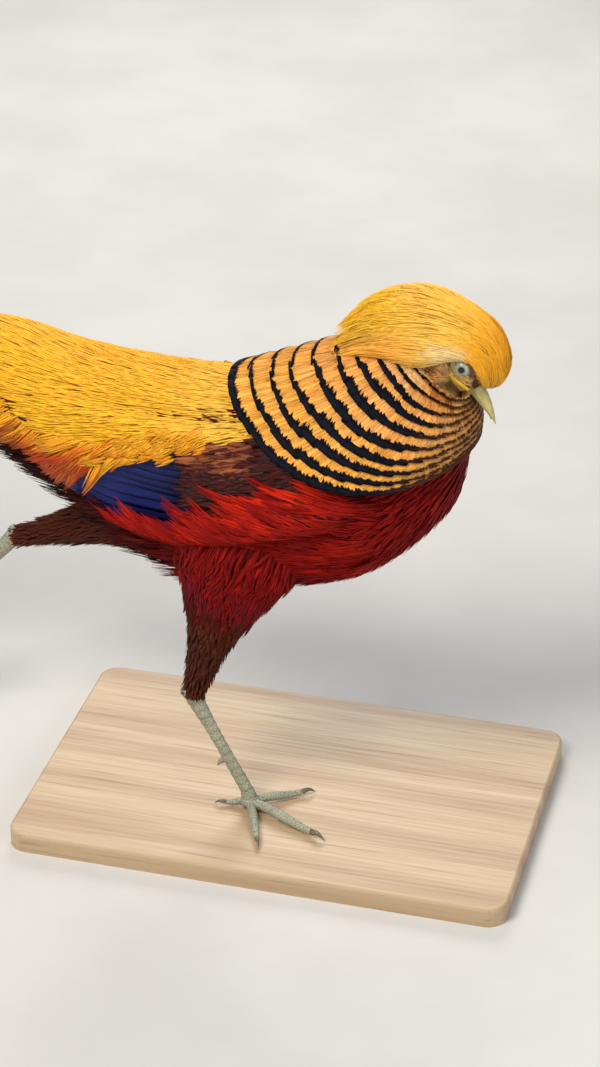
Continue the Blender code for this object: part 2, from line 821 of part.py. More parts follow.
def crest_plumes(trees):
    """Long narrow plumes in tiers, swept back from the forehead over the nape."""
    draw = random.Random(SEED)
    plumes = []
    for tier, (root, tip, count, spread) in enumerate(CREST_TIERS):
        for k in range(count):
            share = 2 * k / (count - 1) - 1
            turn = math.radians(spread) * share * (1 - 0.06 * (tier % 2))
            reach = Vector((between(CREST, root)[0] - between(CREST, root)[2], 0, 0))
            reach.z = between(CREST, root)[1] - between(CREST, root)[3]
            depth = reach.length * (1 - CREST_CORE) + ROOT_SUNK
            end = min(tip + draw.uniform(-0.18, 0.18) - 0.35 * share * share, len(CREST) - 1.0)
            pitch = 2 * math.radians(spread) / (count - 1)
            ends = (root, turn), (end, turn)
            plumes.append(laid_vane(crest_point, *ends, depth, pitch, PLUME, trees, VANE_CLEAR, CREST_RISE))
    return plumes


def lid_shape(side):
    made = bmesh.new()
    ring_count, tube_count = 12, 5
    verts = []
    for i in range(ring_count):
        turn = 2 * math.pi * i / ring_count
        out = Vector((math.cos(turn), 0, math.sin(turn)))
        for j in range(tube_count):
            bend = 2 * math.pi * j / tube_count
            reach = LID_RADIUS + LID_THICKNESS * math.cos(bend)
            place = out * reach + Vector((0, side * LID_THICKNESS * 1.6 * math.sin(bend), 0))
            middle = Vector((EYE_AT.x, side * LID_OUT, EYE_AT.z))
            verts.append(made.verts.new(middle + place))
    for i in range(ring_count):
        for j in range(tube_count):
            a = i * tube_count + j
            b = i * tube_count + (j + 1) % tube_count
            c = (i + 1) % ring_count * tube_count + (j + 1) % tube_count
            d = (i + 1) % ring_count * tube_count + j
            made.faces.new([verts[k] for k in (a, b, c, d)])
    bmesh.ops.recalc_face_normals(made, faces=made.faces)
    mesh = bpy.data.meshes.new("lid")
    made.to_mesh(mesh)
    made.free()
    return mesh


def in_head(mesh):
    mesh.transform(head_matrix())
    return mesh


def make_head(trees):
    head = new_object("head", in_head(skull_shape()))
    pieces = [new_object("crest", crest_shape(CREST_CORE)), new_object("nape", nape_shape())]
    for side in (-1, 1):
        wattle = Vector((WATTLE_AT.x, side * WATTLE_AT.y, WATTLE_AT.z))
        pieces.append(new_object("lid", in_head(lid_shape(side))))
        pieces.append(new_object("wattle", in_head(ball(wattle, WATTLE_HALF, 10, 6))))
    fuse(head, pieces, "MANIFOLD")
    cutters = [new_object("cutter", cape_shape(3.0, GAP))]
    for upper in (True, False):
        cutters.append(new_object("cutter", in_head(bill_shape(upper, GAP))))
    for side in (-1, 1):
        place = Vector((EYE_AT.x, side * EYE_AT.y, EYE_AT.z))
        socket = ball(place, Vector((1, 1, 1)) * (EYE_RADIUS + GAP), EYE_SIDES, EYE_RINGS)
        cutters.append(new_object("socket", in_head(socket)))
    cut(head, cutters, "MANIFOLD")
    fuse(head, crest_plumes(trees), "MANIFOLD")
    return finish(head, "gold")


def make_eye(name, side):
    place = Vector((EYE_AT.x, side * EYE_AT.y, EYE_AT.z))
    shape = ball(place, Vector((1, 1, 1)) * EYE_RADIUS, EYE_SIDES, EYE_RINGS)
    return finish(new_object(name, in_head(shape)), "iris", 80)


def bill_shape(upper, swell=0.0):
    """Half of the bill, above or below the line of the mouth. A swollen half cuts the head clear of it."""
    length = BILL_LENGTH * (1.0 if upper else LOWER_BILL_SHARE)
    rings = []
    for u in steps(0, 1, 8):
        share = (1 - u**1.6) * 0.94 + 0.06
        mouth = BILL_MOUTH + BILL_LIFT * u - BILL_HOOK * 0.6 * u**3
        half_width = BILL_HALF_WIDTH * share + swell
        depth = max(BILL_RISE * share if upper else BILL_DROP * share * 0.62, 0.0007) + swell
        x = FACE_AT + GAP - swell * 0.6 + length * u
        ring = []
        for i in range(7):
            turn = math.pi * i / 6
            if upper:
                height = mouth + GAP / 2 - swell + (depth + swell) * math.sin(turn)
            else:
                height = mouth - GAP / 2 + swell - (depth + swell) * math.sin(turn)
            ring.append(Vector((x, half_width * math.cos(turn), height)))
        rings.append(ring)
    return loft(rings)


def make_bill(name, upper):
    bill = new_object(name, in_head(bill_shape(upper)))
    if upper:
        holes = []
        for side in (-1, 1):
            place = Vector((FACE_AT + NOSTRIL_AT.x, side * NOSTRIL_AT.y, BILL_MOUTH + 0.0022))
            holes.append(new_object("nostril", in_head(ball(place, NOSTRIL_HALF, 8, 6))))
        cut(bill, holes)
    return finish(bill, "horn")


# Tail


def tail_line(distance):
    """A point on the tail's spine and the direction there, at a distance from its root."""
    place = TAIL_ROOT.copy()
    pieces = 24
    step = distance / pieces
    for k in range(pieces):
        share = (k + 0.5) * step / TAIL_LENGTH
        rise = TAIL_RISE_ROOT + (TAIL_RISE_TIP - TAIL_RISE_ROOT) * share
        place += Vector((-math.cos(rise), 0, math.sin(rise))) * step
    rise = TAIL_RISE_ROOT + (TAIL_RISE_TIP - TAIL_RISE_ROOT) * distance / TAIL_LENGTH
    return place, Vector((-math.cos(rise), 0, math.sin(rise)))


def tail_frame(distance, side=1):
    """A point on the tail's ridge, and the directions down one slope of its roof and out of that slope."""
    place, along = tail_line(distance)
    up = Vector((0, 1, 0)).cross(along).normalized()
    ridge = place + up * TAIL_RIDGE * (1 - ease(distance / TAIL_RIDGE_LENGTH))
    slope = Vector((0, side * math.cos(TAIL_SLOPE), 0)) - up * math.sin(TAIL_SLOPE)
    normal = up * math.cos(TAIL_SLOPE) + Vector((0, side * math.sin(TAIL_SLOPE), 0))
    return ridge, slope, normal


def tail_stump():
    """The fleshy root of the tail, which all the tail feathers grow from."""
    sections = (
        (GAP, 0.0215, 0.0203, 0.0217),
        (0.016, 0.0180, 0.0165, 0.0190),
        (0.032, 0.0135, 0.0110, 0.0150),
        (TAIL_STUMP, 0.0080, 0.0060, 0.0100),
    )
    rings = []
    for distance, half_width, rise, drop in sections:
        place, along = tail_line(distance)
        up = Vector((0, 0, 1)) if distance == GAP else Vector((0, 1, 0)).cross(along).normalized()
        ring = []
        for i in range(16):
            turn = 2 * math.pi * i / 16
            height = rise if math.cos(turn) > 0 else drop
            ring.append(place + Vector((0, half_width * math.sin(turn), 0)) + up * (height * math.cos(turn)))
        rings.append(ring)
    return loft(rings, None, tail_line(TAIL_STUMP + 0.006)[0])


def roof_vane(side, sections, thick):
    """A feather on one slope of the tail. Sections are distance, place down the slope, height over it and
    half width."""
    outer, inner = [], []
    for k, (distance, down, height, width) in enumerate(sections):
        ridge, slope, normal = tail_frame(distance, side)
        share = k / (len(sections) - 1)
        depth = thick + (VANE_THIN - thick) * share
        for edge in EDGES:
            top = ridge + slope * (down + width * edge) + normal * height
            outer.append(top)
            inner.append(top - normal * depth)
    return new_object("vane", skin_pair(outer, inner, len(sections), len(EDGES)))


def tail_feather(pair, side):
    """One long tail feather, under the pair before it."""
    length, half_width, count = TAIL_PAIRS[pair]
    sections = []
    for share in steps(0, 1, count):
        distance = TAIL_FEATHER_ROOT + (length - TAIL_FEATHER_ROOT) * share
        width = half_width * math.sin(math.pi * min(0.10 + 1.1 * share, 0.5)) * (1 - share**3 * 0.85)
        spread = min(1.0, distance / 0.09)
        down = width + 0.0005 + TAIL_STEP_OUT * pair * spread + math.tan(TAIL_SPLAY * pair) * distance
        sections.append((distance, down, -TAIL_LAYER * pair, width))
    return roof_vane(side, sections, TAIL_THICK)


def tail_covert(side, k):
    """One narrow plume over the root of the tail, on top of the long feathers."""
    length = TAIL_COVERT_LENGTH * (1.0 - 0.10 * k)
    sections = []
    for share, width in PLUME:
        distance = TAIL_COVERT_ROOT + length * share
        spread = TAIL_COVERT_NARROW + (1 - TAIL_COVERT_NARROW) * share
        down = (0.5 + k) * TAIL_COVERT_STEP * spread
        height = 0.0030 * (1 - share) + 0.0022
        sections.append((distance, down, height, TAIL_COVERT_WIDTH * width * spread))
    return roof_vane(side, sections, VANE_THICK)


def make_tail():
    tail = new_object("tail", tail_stump())
    feathers = []
    for side in (-1, 1):
        feathers += [tail_feather(pair, side) for pair in range(len(TAIL_PAIRS))]
        feathers += [tail_covert(side, k) for k in range(TAIL_COVERTS)]
    fuse(tail, feathers, "MANIFOLD")
    return finish(tail, "tail")


# Legs


def make_thigh(name, start, knee, ankle, foot):
    """The feathered leg, cut to the torso that it grows from."""
    path = [start]
    radii = [THIGH[0]]
    for k, u in enumerate(steps(0.0, 1.0, len(THIGH))):
        path.append(knee + (ankle - knee) * u)
        radii.append(THIGH[k])
    thigh = new_object(name, tube(path, radii, THIGH_SIDES, Vector((0, 1, 0))))
    side = -1 if knee.y < 0 else 1
    cutters = [new_object("cutter", torso_shape(GAP)), new_object("cutter", wing_shape(side, GAP))]
    cutters.append(new_object("cutter", shank_shape(ankle, foot, GAP)))
    cut(thigh, cutters)
    return finish(thigh, "brown")


def shank_end():
    """The left ankle's shank hangs back and down, clear of the ground."""
    return ANKLE_LEFT + Vector((-math.cos(SHANK_LEFT_TURN), 0, -math.sin(SHANK_LEFT_TURN))) * SHANK_LENGTH


def shank_shape(ankle, foot, swell=0.0):
    """The bare leg, from a knuckle at the ankle down into the foot."""
    along = (foot - ankle).normalized()
    start = ankle - along * SHANK_START
    end = foot + along * SHANK_END
    path = [start + (end - start) * u for u in steps(0, 1, len(SHANK))]
    radii = [(wide + swell, deep + swell) for wide, deep in SHANK]
    top = start - along * (SHANK[0][0] * 0.6 + swell)
    bottom = end + along * (0.0008 + swell)
    return tube(path, radii, SHANK_SIDES, Vector((0, 1, 0)), top, bottom)


def make_shank(name, ankle, foot):
    """The bare leg with its spur on the back."""
    along = (foot - ankle).normalized()
    side_axis = Vector((0, 1, 0))
    shank = new_object(name, shank_shape(ankle, foot))
    back = along.cross(side_axis)
    if back.x > 0:
        back = -back
    root = ankle + along * (SHANK_LENGTH * 0.62)
    tip = root + (back * 0.9 + along * 0.25) * (SPUR_LENGTH + 0.003)
    path = [root, root + (tip - root) * 0.4, root + (tip - root) * 0.8]
    spur = tube(path, [(0.0020, 0.0026), (0.0016, 0.0019), (0.0008, 0.0009)], 8, side_axis, None, tip)
    fuse(shank, [new_object("spur", spur)])
    return finish(shank, "scale")


def toe_path(foot, turn, length, radius, droop):
    """Points along a toe from the middle of the foot, flat on the ground or hanging by an angle."""
    points = []
    ahead = Vector((math.cos(turn), math.sin(turn), 0))
    for u in steps(0, 1, len(TOE_PADS)):
        reach = length * u
        arch = 0.0022 * math.sin(math.pi * min(u * 1.15, 1.0)) * (1 - u)
        drop = reach * math.sin(droop * u * 0.8)
        points.append(foot + ahead * (reach * math.cos(droop * u * 0.8)) + Vector((0, 0, arch - drop)))
    return points


def toe_radii(radius):
    """Radii along a toe, swollen at its joints."""
    return [(radius * p, radius * p * 0.92) for p in TOE_PADS]


def foot_turn(place, matrix, foot):
    return foot + matrix @ (place - foot)


def claw_arch(u, size):
    """How far a claw's middle line rises above its root, at a share of its length."""
    return size * (0.16 * math.sin(math.pi * u) - 0.20 * u * u)


def make_foot(name, foot, side, droop, pitch):
    """The pad and its four toes, and a claw on each toe as an object of its own."""
    turned = Matrix.Rotation(pitch, 3, "Y")
    low = foot - Vector((0, 0, FOOT_SOLE))
    toes = []
    claws = []
    for toe, (degrees, length, radius) in TOES.items():
        turn = side * math.radians(degrees)
        start = low + Vector((0, 0, radius * 0.92))
        path = [foot_turn(p, turned, foot) for p in toe_path(start, turn, length, radius, droop)]
        across = turned @ Vector((-math.sin(turn), math.cos(turn), 0))
        radii = toe_radii(radius)
        end = path[-1] + (path[-1] - path[-2]).normalized() * radius * 0.4
        toes.append(new_object("toe", tube(path, radii, TOE_SIDES, across, None, end)))
        ahead = (path[-1] - path[-2]).normalized()
        down = across.cross(ahead)
        if (turned.inverted() @ down).z > 0:
            down = -down
        begin = end + ahead * GAP
        size = CLAW_LENGTH * (0.75 if toe == "hind" else 1.0)
        claw_path = [begin + ahead * size * u - down * claw_arch(u, size) for u in (0.0, 0.3, 0.6, 0.85)]
        claw_tip = begin + ahead * size - down * claw_arch(1.0, size)
        claw_radii = [(radius * width, radius * width * 1.2) for width in (0.46, 0.38, 0.24, 0.12)]
        claw_name = name.replace("foot", "claw") + "_" + toe
        claws.append(new_object(claw_name, tube(claw_path, claw_radii, 6, across, None, claw_tip)))
    pad = ball(low + Vector((0, 0, 0.0046)), Vector((0.0060, 0.0056, 0.0046)), 10, 6)
    pad.transform(Matrix.Translation(foot) @ turned.to_4x4() @ Matrix.Translation(-foot))
    body = new_object(name, pad)
    fuse(body, toes)
    return body, claws


def flatten_on_base(obj):
    """Cuts an object level just above the display base."""
    floor = BASE_THICKNESS + GAP
    depth = 0.02
    middle = obj.data.vertices[0].co
    cut(obj, [block(Vector((middle.x, middle.y, floor - depth)), Vector((0.1, 0.1, depth)))])


def make_right_foot():
    foot, claws = make_foot("foot_right", FOOT_RIGHT, -1, 0.0, 0.0)
    flatten_on_base(foot)
    cut(foot, [new_object("cutter", shank_shape(ANKLE_RIGHT, FOOT_RIGHT, GAP))])
    finish(foot, "scale")
    for claw in claws:
        finish(claw, "claw")


def make_left_foot():
    foot, claws = make_foot("foot_left", shank_end(), 1, math.radians(40), math.radians(62))
    cut(foot, [new_object("cutter", shank_shape(ANKLE_LEFT, shank_end(), GAP))])
    finish(foot, "scale")
    for claw in claws:
        finish(claw, "claw")


# Display base


def make_base():
    base = block(Vector((0, 0, BASE_THICKNESS / 2)), Vector((BASE_LENGTH, BASE_WIDTH, BASE_THICKNESS)) / 2)
    base.name = "stand_base"
    made = bmesh.new()
    made.from_mesh(base.data)
    upright = [e for e in made.edges if abs((e.verts[0].co - e.verts[1].co).z) > BASE_THICKNESS / 2]
    bmesh.ops.bevel(made, geom=upright, offset=BASE_CORNER, segments=6, affect="EDGES", profile=0.5)
    top = [e for e in made.edges if min(v.co.z for v in e.verts) > BASE_THICKNESS - 1e-5]
    rim = [e for e in top if len({round(f.normal.z, 1) for f in e.link_faces}) > 1]
    bmesh.ops.bevel(made, geom=rim, offset=BASE_EDGE, segments=2, affect="EDGES", profile=0.5)
    made.to_mesh(base.data)
    made.free()
    return finish(base, "wood", 30)


def main():
    clear_scene()
    torso = make_torso()
    on_torso = [surface_tree(torso)]
    wings = [make_wing("wing_right", -1, on_torso), make_wing("wing_left", 1, on_torso)]
    neck = make_neck([surface_tree(obj) for obj in (torso, *wings)])
    make_head([surface_tree(neck)])
    make_eye("eye_right", -1)
    make_eye("eye_left", 1)
    make_bill("bill_upper", True)
    make_bill("bill_lower", False)
    make_tail()
    make_thigh("thigh_right", HIP_RIGHT, KNEE_RIGHT, ANKLE_RIGHT, FOOT_RIGHT)
    make_thigh("thigh_left", HIP_LEFT, KNEE_LEFT, ANKLE_LEFT, shank_end())
    make_shank("shank_right", ANKLE_RIGHT, FOOT_RIGHT)
    make_shank("shank_left", ANKLE_LEFT, shank_end())
    make_right_foot()
    make_left_foot()
    make_base()


main()
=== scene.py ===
import math

import bmesh
import bpy
import numpy as np
from mathutils import Matrix, Vector
from mathutils.kdtree import KDTree


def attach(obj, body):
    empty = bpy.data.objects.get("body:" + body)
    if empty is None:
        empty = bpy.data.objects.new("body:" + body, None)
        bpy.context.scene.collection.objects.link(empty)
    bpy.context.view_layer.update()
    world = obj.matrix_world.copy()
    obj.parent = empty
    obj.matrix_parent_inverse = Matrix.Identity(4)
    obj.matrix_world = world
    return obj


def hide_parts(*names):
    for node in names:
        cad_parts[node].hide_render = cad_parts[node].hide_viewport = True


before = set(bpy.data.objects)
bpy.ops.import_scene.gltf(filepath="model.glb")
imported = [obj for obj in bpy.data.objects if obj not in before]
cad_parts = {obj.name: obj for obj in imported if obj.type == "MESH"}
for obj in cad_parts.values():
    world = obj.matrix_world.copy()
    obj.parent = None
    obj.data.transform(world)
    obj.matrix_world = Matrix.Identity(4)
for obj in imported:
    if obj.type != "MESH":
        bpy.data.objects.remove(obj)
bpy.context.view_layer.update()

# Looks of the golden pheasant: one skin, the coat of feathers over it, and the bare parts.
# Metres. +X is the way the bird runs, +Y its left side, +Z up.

SIDES = (-1, 1)
SIDE_NAMES = {-1: "right", 1: "left"}

# Camera, worked out from the photo: where it stands and what the middle of the photo looks at.
CAMERA_PLACE = Vector((0.37260, -1.37247, 1.00583))
CAMERA_AIM = Vector((-0.00845, 0.04960, 0.15583))
CAMERA_LENS = 96.4

# Body sections, rump to breast: x, centre height, half width, rise above the centre, drop below it.
TORSO = np.array((
    (-0.206, 0.2770, 0.0215, 0.0195, 0.0220),
    (-0.190, 0.2725, 0.0285, 0.0258, 0.0300),
    (-0.163, 0.2650, 0.0355, 0.0315, 0.0400),
    (-0.126, 0.2530, 0.0410, 0.0340, 0.0540),
    (-0.080, 0.2415, 0.0460, 0.0405, 0.0760),
    (-0.040, 0.2330, 0.0495, 0.0490, 0.0800),
    (0.005, 0.2310, 0.0510, 0.0520, 0.0740),
    (0.045, 0.2350, 0.0500, 0.0490, 0.0650),
    (0.075, 0.2420, 0.0440, 0.0420, 0.0480),
    (0.094, 0.2490, 0.0320, 0.0310, 0.0310),
    (0.1025, 0.2530, 0.0170, 0.0165, 0.0170),
    (0.1050, 0.2540, 0.0004, 0.0004, 0.0004),
))
# Loops of the cape, from the head to the rim: x and z on the nape, x and z on the throat, half width,
# how far the sides hang.
CAPE = np.array((
    (0.064, 0.3270, 0.100, 0.2880, 0.0180, 0.002),
    (0.040, 0.3170, 0.104, 0.2810, 0.0360, 0.008),
    (0.003, 0.3010, 0.107, 0.2720, 0.0520, 0.016),
    (-0.034, 0.2865, 0.107, 0.2620, 0.0605, 0.023),
))
# Crest, forehead to nape: x and z of its midline, x and z of its root line, half width.
CREST = np.array((
    (0.1188, 0.2922, 0.1098, 0.2962, 0.0066),
    (0.1228, 0.3025, 0.1082, 0.3055, 0.0108),
    (0.1230, 0.3170, 0.1045, 0.3140, 0.0140),
    (0.1140, 0.3330, 0.0975, 0.3200, 0.0180),
    (0.0950, 0.3425, 0.0880, 0.3230, 0.0215),
    (0.0720, 0.3465, 0.0730, 0.3235, 0.0240),
    (0.0490, 0.3395, 0.0540, 0.3215, 0.0225),
    (0.0290, 0.3225, 0.0330, 0.3130, 0.0150),
))
# Head in its own frame, X along the bill and Z to the crown, nape to bill:
# along, centre height, half width, rise, drop.
HEAD = np.array((
    (-0.0235, 0.0010, 0.0070, 0.0070, 0.0075),
    (-0.0180, 0.0015, 0.0120, 0.0120, 0.0130),
    (-0.0080, 0.0020, 0.0146, 0.0150, 0.0158),
    (0.0020, 0.0015, 0.0140, 0.0145, 0.0150),
    (0.0100, 0.0000, 0.0112, 0.0118, 0.0122),
    (0.0160, -0.0020, 0.0078, 0.0082, 0.0084),
))
HEAD_FRAME = Matrix.Translation((0.0985, 0.0, 0.3095)) @ Matrix.Rotation(math.radians(60), 4, "Y")
# Where the bill leaves the face, along the head.
FACE_AT = 0.0170

# The left eye in the head's frame, and half of its opening along and up.
EYE_AT = Vector((0.0000, 0.0090, 0.0008))
EYE_RADIUS = 0.0062
LID_HALF = (0.0054, 0.0039)
# The yellow wattle under the eye, from the cheek to the corner of the bill: along and up in the head.
WATTLE = np.array(((-0.0022, -0.0094), (0.0025, -0.0086), (0.0080, -0.0066), (0.0140, -0.0042)))
WATTLE_HALF = 0.0027

# The bill at its root. It hooks down at the tip, and the line of the mouth lifts a little.
BILL_LENGTH = 0.0240
BILL_HALF_WIDTH = 0.0046
BILL_RISE = 0.0052
BILL_DROP = 0.0050
BILL_HOOK = 0.0030
BILL_LIFT = 0.0020
BILL_MOUTH = -0.0040
LOWER_BILL_SHARE = 0.86
NOSTRIL_AT = Vector((0.0062, 0.0040, -0.0018))

# The folded wing: both ends along the body, and the angles of its upper and its lower edge there.
WING_ALONG = (0.052, -0.128)
WING_TOP = (math.radians(54), math.radians(72))
WING_LOW = (math.radians(90), math.radians(130))

# The tail: its root, its rise there and at the tip, and the length and half width of each pair of its
# feathers, the middle pair first.
TAIL_ROOT = np.array((-0.206, 0.0, 0.2765))
TAIL_RISE = (math.radians(17), math.radians(3))
TAIL_LENGTH = 0.690
TAIL_PAIRS = (
    (0.690, 0.0235),
    (0.570, 0.0220),
    (0.450, 0.0200),
    (0.360, 0.0180),
    (0.290, 0.0165),
    (0.240, 0.0150),
    (0.200, 0.0140),
    (0.170, 0.0130),
    (0.145, 0.0120),
)
# The pairs lie one under the other on a roof, and stand out and splay a little.
TAIL_SLOPE = math.radians(38)
TAIL_LAYER = 0.0019
TAIL_STEP_OUT = 0.0022
TAIL_SPLAY = math.radians(0.7)
# How high the ridge stands over the root, and where it has sunk to the tail's line.
TAIL_RIDGE = (0.0115, 0.300)
# Sections of the fleshy stump: distance from its root, half width, rise, drop.
TAIL_STUMP = (
    (0.0, 0.0195, 0.018, 0.020),
    (0.018, 0.016, 0.014, 0.017),
    (0.034, 0.011, 0.009, 0.013),
    (0.046, 0.006, 0.005, 0.008),
)

# Each leg, by side: where its thigh starts inside the body, its knee and its ankle.
LEGS = {
    -1: (
        Vector((-0.0130, -0.0300, 0.2150)),
        Vector((-0.0240, -0.0340, 0.1850)),
        Vector((-0.0516, -0.0320, 0.0854)),
    ),
    1: (
        Vector((-0.0300, 0.0280, 0.2050)),
        Vector((-0.0650, 0.0300, 0.1800)),
        Vector((-0.1840, 0.0320, 0.1370)),
    ),
}
# Half widths and depths of the feathered leg, body to ankle, and its rough length.
LEG_LENGTH = 0.145
THIGH = np.array((
    (0.0200, 0.0360),
    (0.0185, 0.0295),
    (0.0160, 0.0220),
    (0.0122, 0.0155),
    (0.0094, 0.0114),
    (0.0070, 0.0085),
    (0.0052, 0.0062),
))
# Half widths and depths of the bare leg, ankle to foot.
SHANK = np.array((
    (0.0046, 0.0058),
    (0.0038, 0.0050),
    (0.0030, 0.0041),
    (0.0028, 0.0038),
    (0.0028, 0.0038),
    (0.0033, 0.0039),
    (0.0038, 0.0038),
))
FOOT_RIGHT = Vector((-0.0174, -0.0320, 0.0205))
SHANK_LENGTH = 0.0740
SHANK_LEFT_TURN = math.radians(50)
# Toes: turn in degrees, length, radius.
TOES = {
    "middle": (25, 0.0470, 0.0034),
    "outer": (68, 0.0360, 0.0030),
    "inner": (-34, 0.0320, 0.0030),
    "hind": (170, 0.0140, 0.0024),
}
# How the pads swell a toe, from its root to its claw.
TOE_PADS = np.array((1.0, 0.90, 0.98, 0.82, 0.64))
FOOT_SOLE = 0.0084
CLAW_LENGTH = 0.0095
SPUR_LENGTH = 0.0075
# How far each leg's foot droops and is pitched.
FOOT_DROOP = {-1: 0.0, 1: math.radians(40)}
FOOT_PITCH = {-1: 0.0, 1: math.radians(62)}

# How deep the coat is over the skin, and the size of the skin's mesh.
COAT = 0.0026
THIGH_COAT = COAT * 0.6
SKIN_VOXEL = 0.0022
# Each feather's patch on the unwrap.
PATCH = 0.0026

# How dense the coat is on each side: locks of loose plumes with strands in each, and single feathers.
VENT_LOCKS, VENT_STRANDS = 150, 11
EDGE_LOCKS, EDGE_STRANDS = 150, 14
FLANK_LOCKS, FLANK_STRANDS = 300, 14
THIGH_LOCKS, THIGH_STRANDS = 130, 14
SHOULDER_COUNT = 520
COVERT_COUNT = 260
CHEEK_STRANDS = 8
# Layers of the crest: number of locks, strands in each, half width of a strand, height of the layer.
CREST_LAYERS = ((160, 16, 0.00066, -0.0012), (240, 24, 0.00052, 0.0002))
# Rows of the cape, and the dark wedges and fine barbs on each of its feathers.
CAPE_BANDS = 9
CAPE_WEDGES = 12
CAPE_BARBS = 12
CAPE_CAMBER = 0.06

# Colours of the plumage and the bare parts, linear.
CREAM = (0.92, 0.68, 0.32)
PALE_STRAW = (0.86, 0.60, 0.22)
PALE_GOLD = (0.98, 0.62, 0.10)
GOLD = (0.90, 0.45, 0.022)
BRIGHT_GOLD = (1.0, 0.57, 0.018)
DEEP_GOLD = (0.78, 0.32, 0.012)
PEACH = (0.95, 0.47, 0.13)
ORANGE = (0.92, 0.36, 0.050)
BUFF = (0.50, 0.26, 0.10)
RUST = (0.46, 0.13, 0.045)
RUFOUS_BROWN = (0.11, 0.032, 0.012)
BLUE_BLACK = (0.004, 0.005, 0.010)
BLACK = (0.007, 0.005, 0.006)
CRIMSON = (0.20, 0.004, 0.005)
SCARLET = (0.46, 0.012, 0.005)
# Painted highlight for the upper flank.
PAINTED_HIGHLIGHT_RED = (0.80, 0.030, 0.007)
# Painted purple sheen, for the belly and the tops of the thighs.
PAINTED_PURPLE_SHEEN = (0.24, 0.012, 0.034)
FLAME = (0.80, 0.12, 0.010)
MAROON = (0.075, 0.006, 0.006)
DARK_BROWN = (0.024, 0.009, 0.006)
LEG_BROWN = (0.095, 0.024, 0.010)
ROYAL_BLUE = (0.012, 0.022, 0.180)
DARK_BLUE = (0.006, 0.009, 0.050)
CHESTNUT = (0.16, 0.045, 0.016)
CINNAMON = (0.34, 0.13, 0.042)
GOLDEN_SHEEN = (1.0, 0.62, 0.14, 1.0)

# Plumage: roughness, sheen, pitch and slant of the barbs, their strength and depth, streaks, shade at the
# root, gloss.
PLUMAGE = {
    "silky": (0.45, 0.35, 0.0012, 2.5, 0.12, 0.00003, 0.08, 0.94, 0.20),
    "golden": (0.50, 0.12, 0.0012, 2.5, 0.15, 0.00004, 0.10, 0.92, 0.20),
    "soft": (0.65, 0.0, 0.0006, 1.2, 0.4, 0.00010, 0.2, 0.80, 0.08),
    "loose": (0.60, 0.0, 0.0012, 2.0, 0.2, 0.00005, 0.2, 0.80, 0.08),
    "wing": (0.42, 0.0, 0.0008, 1.2, 0.6, 0.00014, 0.2, 0.80, 0.22),
    "cape": (0.55, 0.0, 0.0007, 1.0, 0.4, 0.00010, 0.10, 0.92, 0.20),
    "bar": (0.60, 0.0, 0.0006, 0.6, 0.4, 0.00010, 0.2, 1.0, 0.08),
}

# Lights: name, place, aim, size, power, colour.
LIGHTS = (
    ("key", (-0.60, -1.05, 1.70), (-0.03, 0, 0.24), 0.9, 35, (1.0, 0.95, 0.88)),
    ("fill", (1.5, -0.7, 0.9), (0, 0, 0.2), 1.2, 9, (0.92, 0.96, 1.0)),
    ("back", (-0.4, 1.5, 1.2), (-0.05, 0, 0.25), 1.0, 16, (1.0, 0.97, 0.92)),
)
SKY = (0.80, 0.84, 0.90, 1)
SKY_STRENGTH = 0.42
FLOOR_REACH = 30.0


def smooth(low, high, x):
    """0 below low and 1 above high, with a soft step between."""
    t = np.clip((np.asarray(x, float) - low) / (high - low), 0.0, 1.0)
    return t * t * (3 - 2 * t)


def mix(a, b, share):
    """Between two colours, by a share."""
    share = np.asarray(share, float)[..., None]
    return np.asarray(a, float) * (1 - share) + np.asarray(b, float) * share


def unit(v):
    """Directions with length 1."""
    return v / np.maximum(np.linalg.norm(v, axis=-1, keepdims=True), 1e-12)


def curve(rows, t):
    """Rows of numbers at places t along a list of rows, on smooth curves through them."""
    rows = np.asarray(rows, float)
    t = np.clip(np.asarray(t, float), 0.0, len(rows) - 1.0)
    k = np.minimum(t.astype(int), len(rows) - 2)
    f = (t - k)[..., None]
    padded = np.vstack([2 * rows[0] - rows[1], rows, 2 * rows[-1] - rows[-2]])
    a, b = padded[k + 1], padded[k + 2]
    slope_a = (b - padded[k]) / 2
    slope_b = (padded[k + 3] - a) / 2
    return (
        (2 * f**3 - 3 * f**2 + 1) * a
        + (f**3 - 2 * f**2 + f) * slope_a
        + (3 * f**2 - 2 * f**3) * b
        + (f**3 - f**2) * slope_b
    )


def stack(x, y, z):
    """Points from three coordinates."""
    return np.stack(np.broadcast_arrays(x, y, z), axis=-1)


# The unwrap of the body: its reach along, and all the way round.
BODY_P = (-0.21, 0.106)
ROUND_Q = (-math.pi, math.pi)
# The end of the body's plumage, its rough radius, and the small step that gives its slope.
BODY_END = -0.212
BODY_RADIUS = 0.050
BODY_STEP = 0.0012
THIGH_STEP = 0.004
HEAD_STEP = 0.02

# Surfaces that feathers grow on. Each is a function of two numbers that gives points.


TORSO_PLACES = np.linspace(0, len(TORSO) - 1, 441)
TORSO_ALONG = curve(TORSO, TORSO_PLACES)[:, 0]


def torso_row(x):
    """The body's section at x, as five numbers."""
    return np.moveaxis(curve(TORSO, np.interp(x, TORSO_ALONG, TORSO_PLACES)), -1, 0)


def torso(x, angle):
    """The body at x and an angle from straight up, positive on the left."""
    _, middle, half_width, rise, drop = torso_row(x)
    height = np.where(np.cos(angle) > 0, rise, drop)
    return stack(x, half_width * np.sin(angle), middle + height * np.cos(angle))


def cape(t, turn):
    """The cape at a loop and an angle from the nape, positive on the left."""
    nape_x, nape_z, throat_x, throat_z, half_width, sag = np.moveaxis(curve(CAPE, t), -1, 0)
    share = np.cos(turn)
    x = (nape_x + throat_x) / 2 + (nape_x - throat_x) / 2 * share
    z = (nape_z + throat_z) / 2 + (nape_z - throat_z) / 2 * share - sag * np.sin(turn) ** 2
    return stack(x, half_width * np.sin(turn), z)


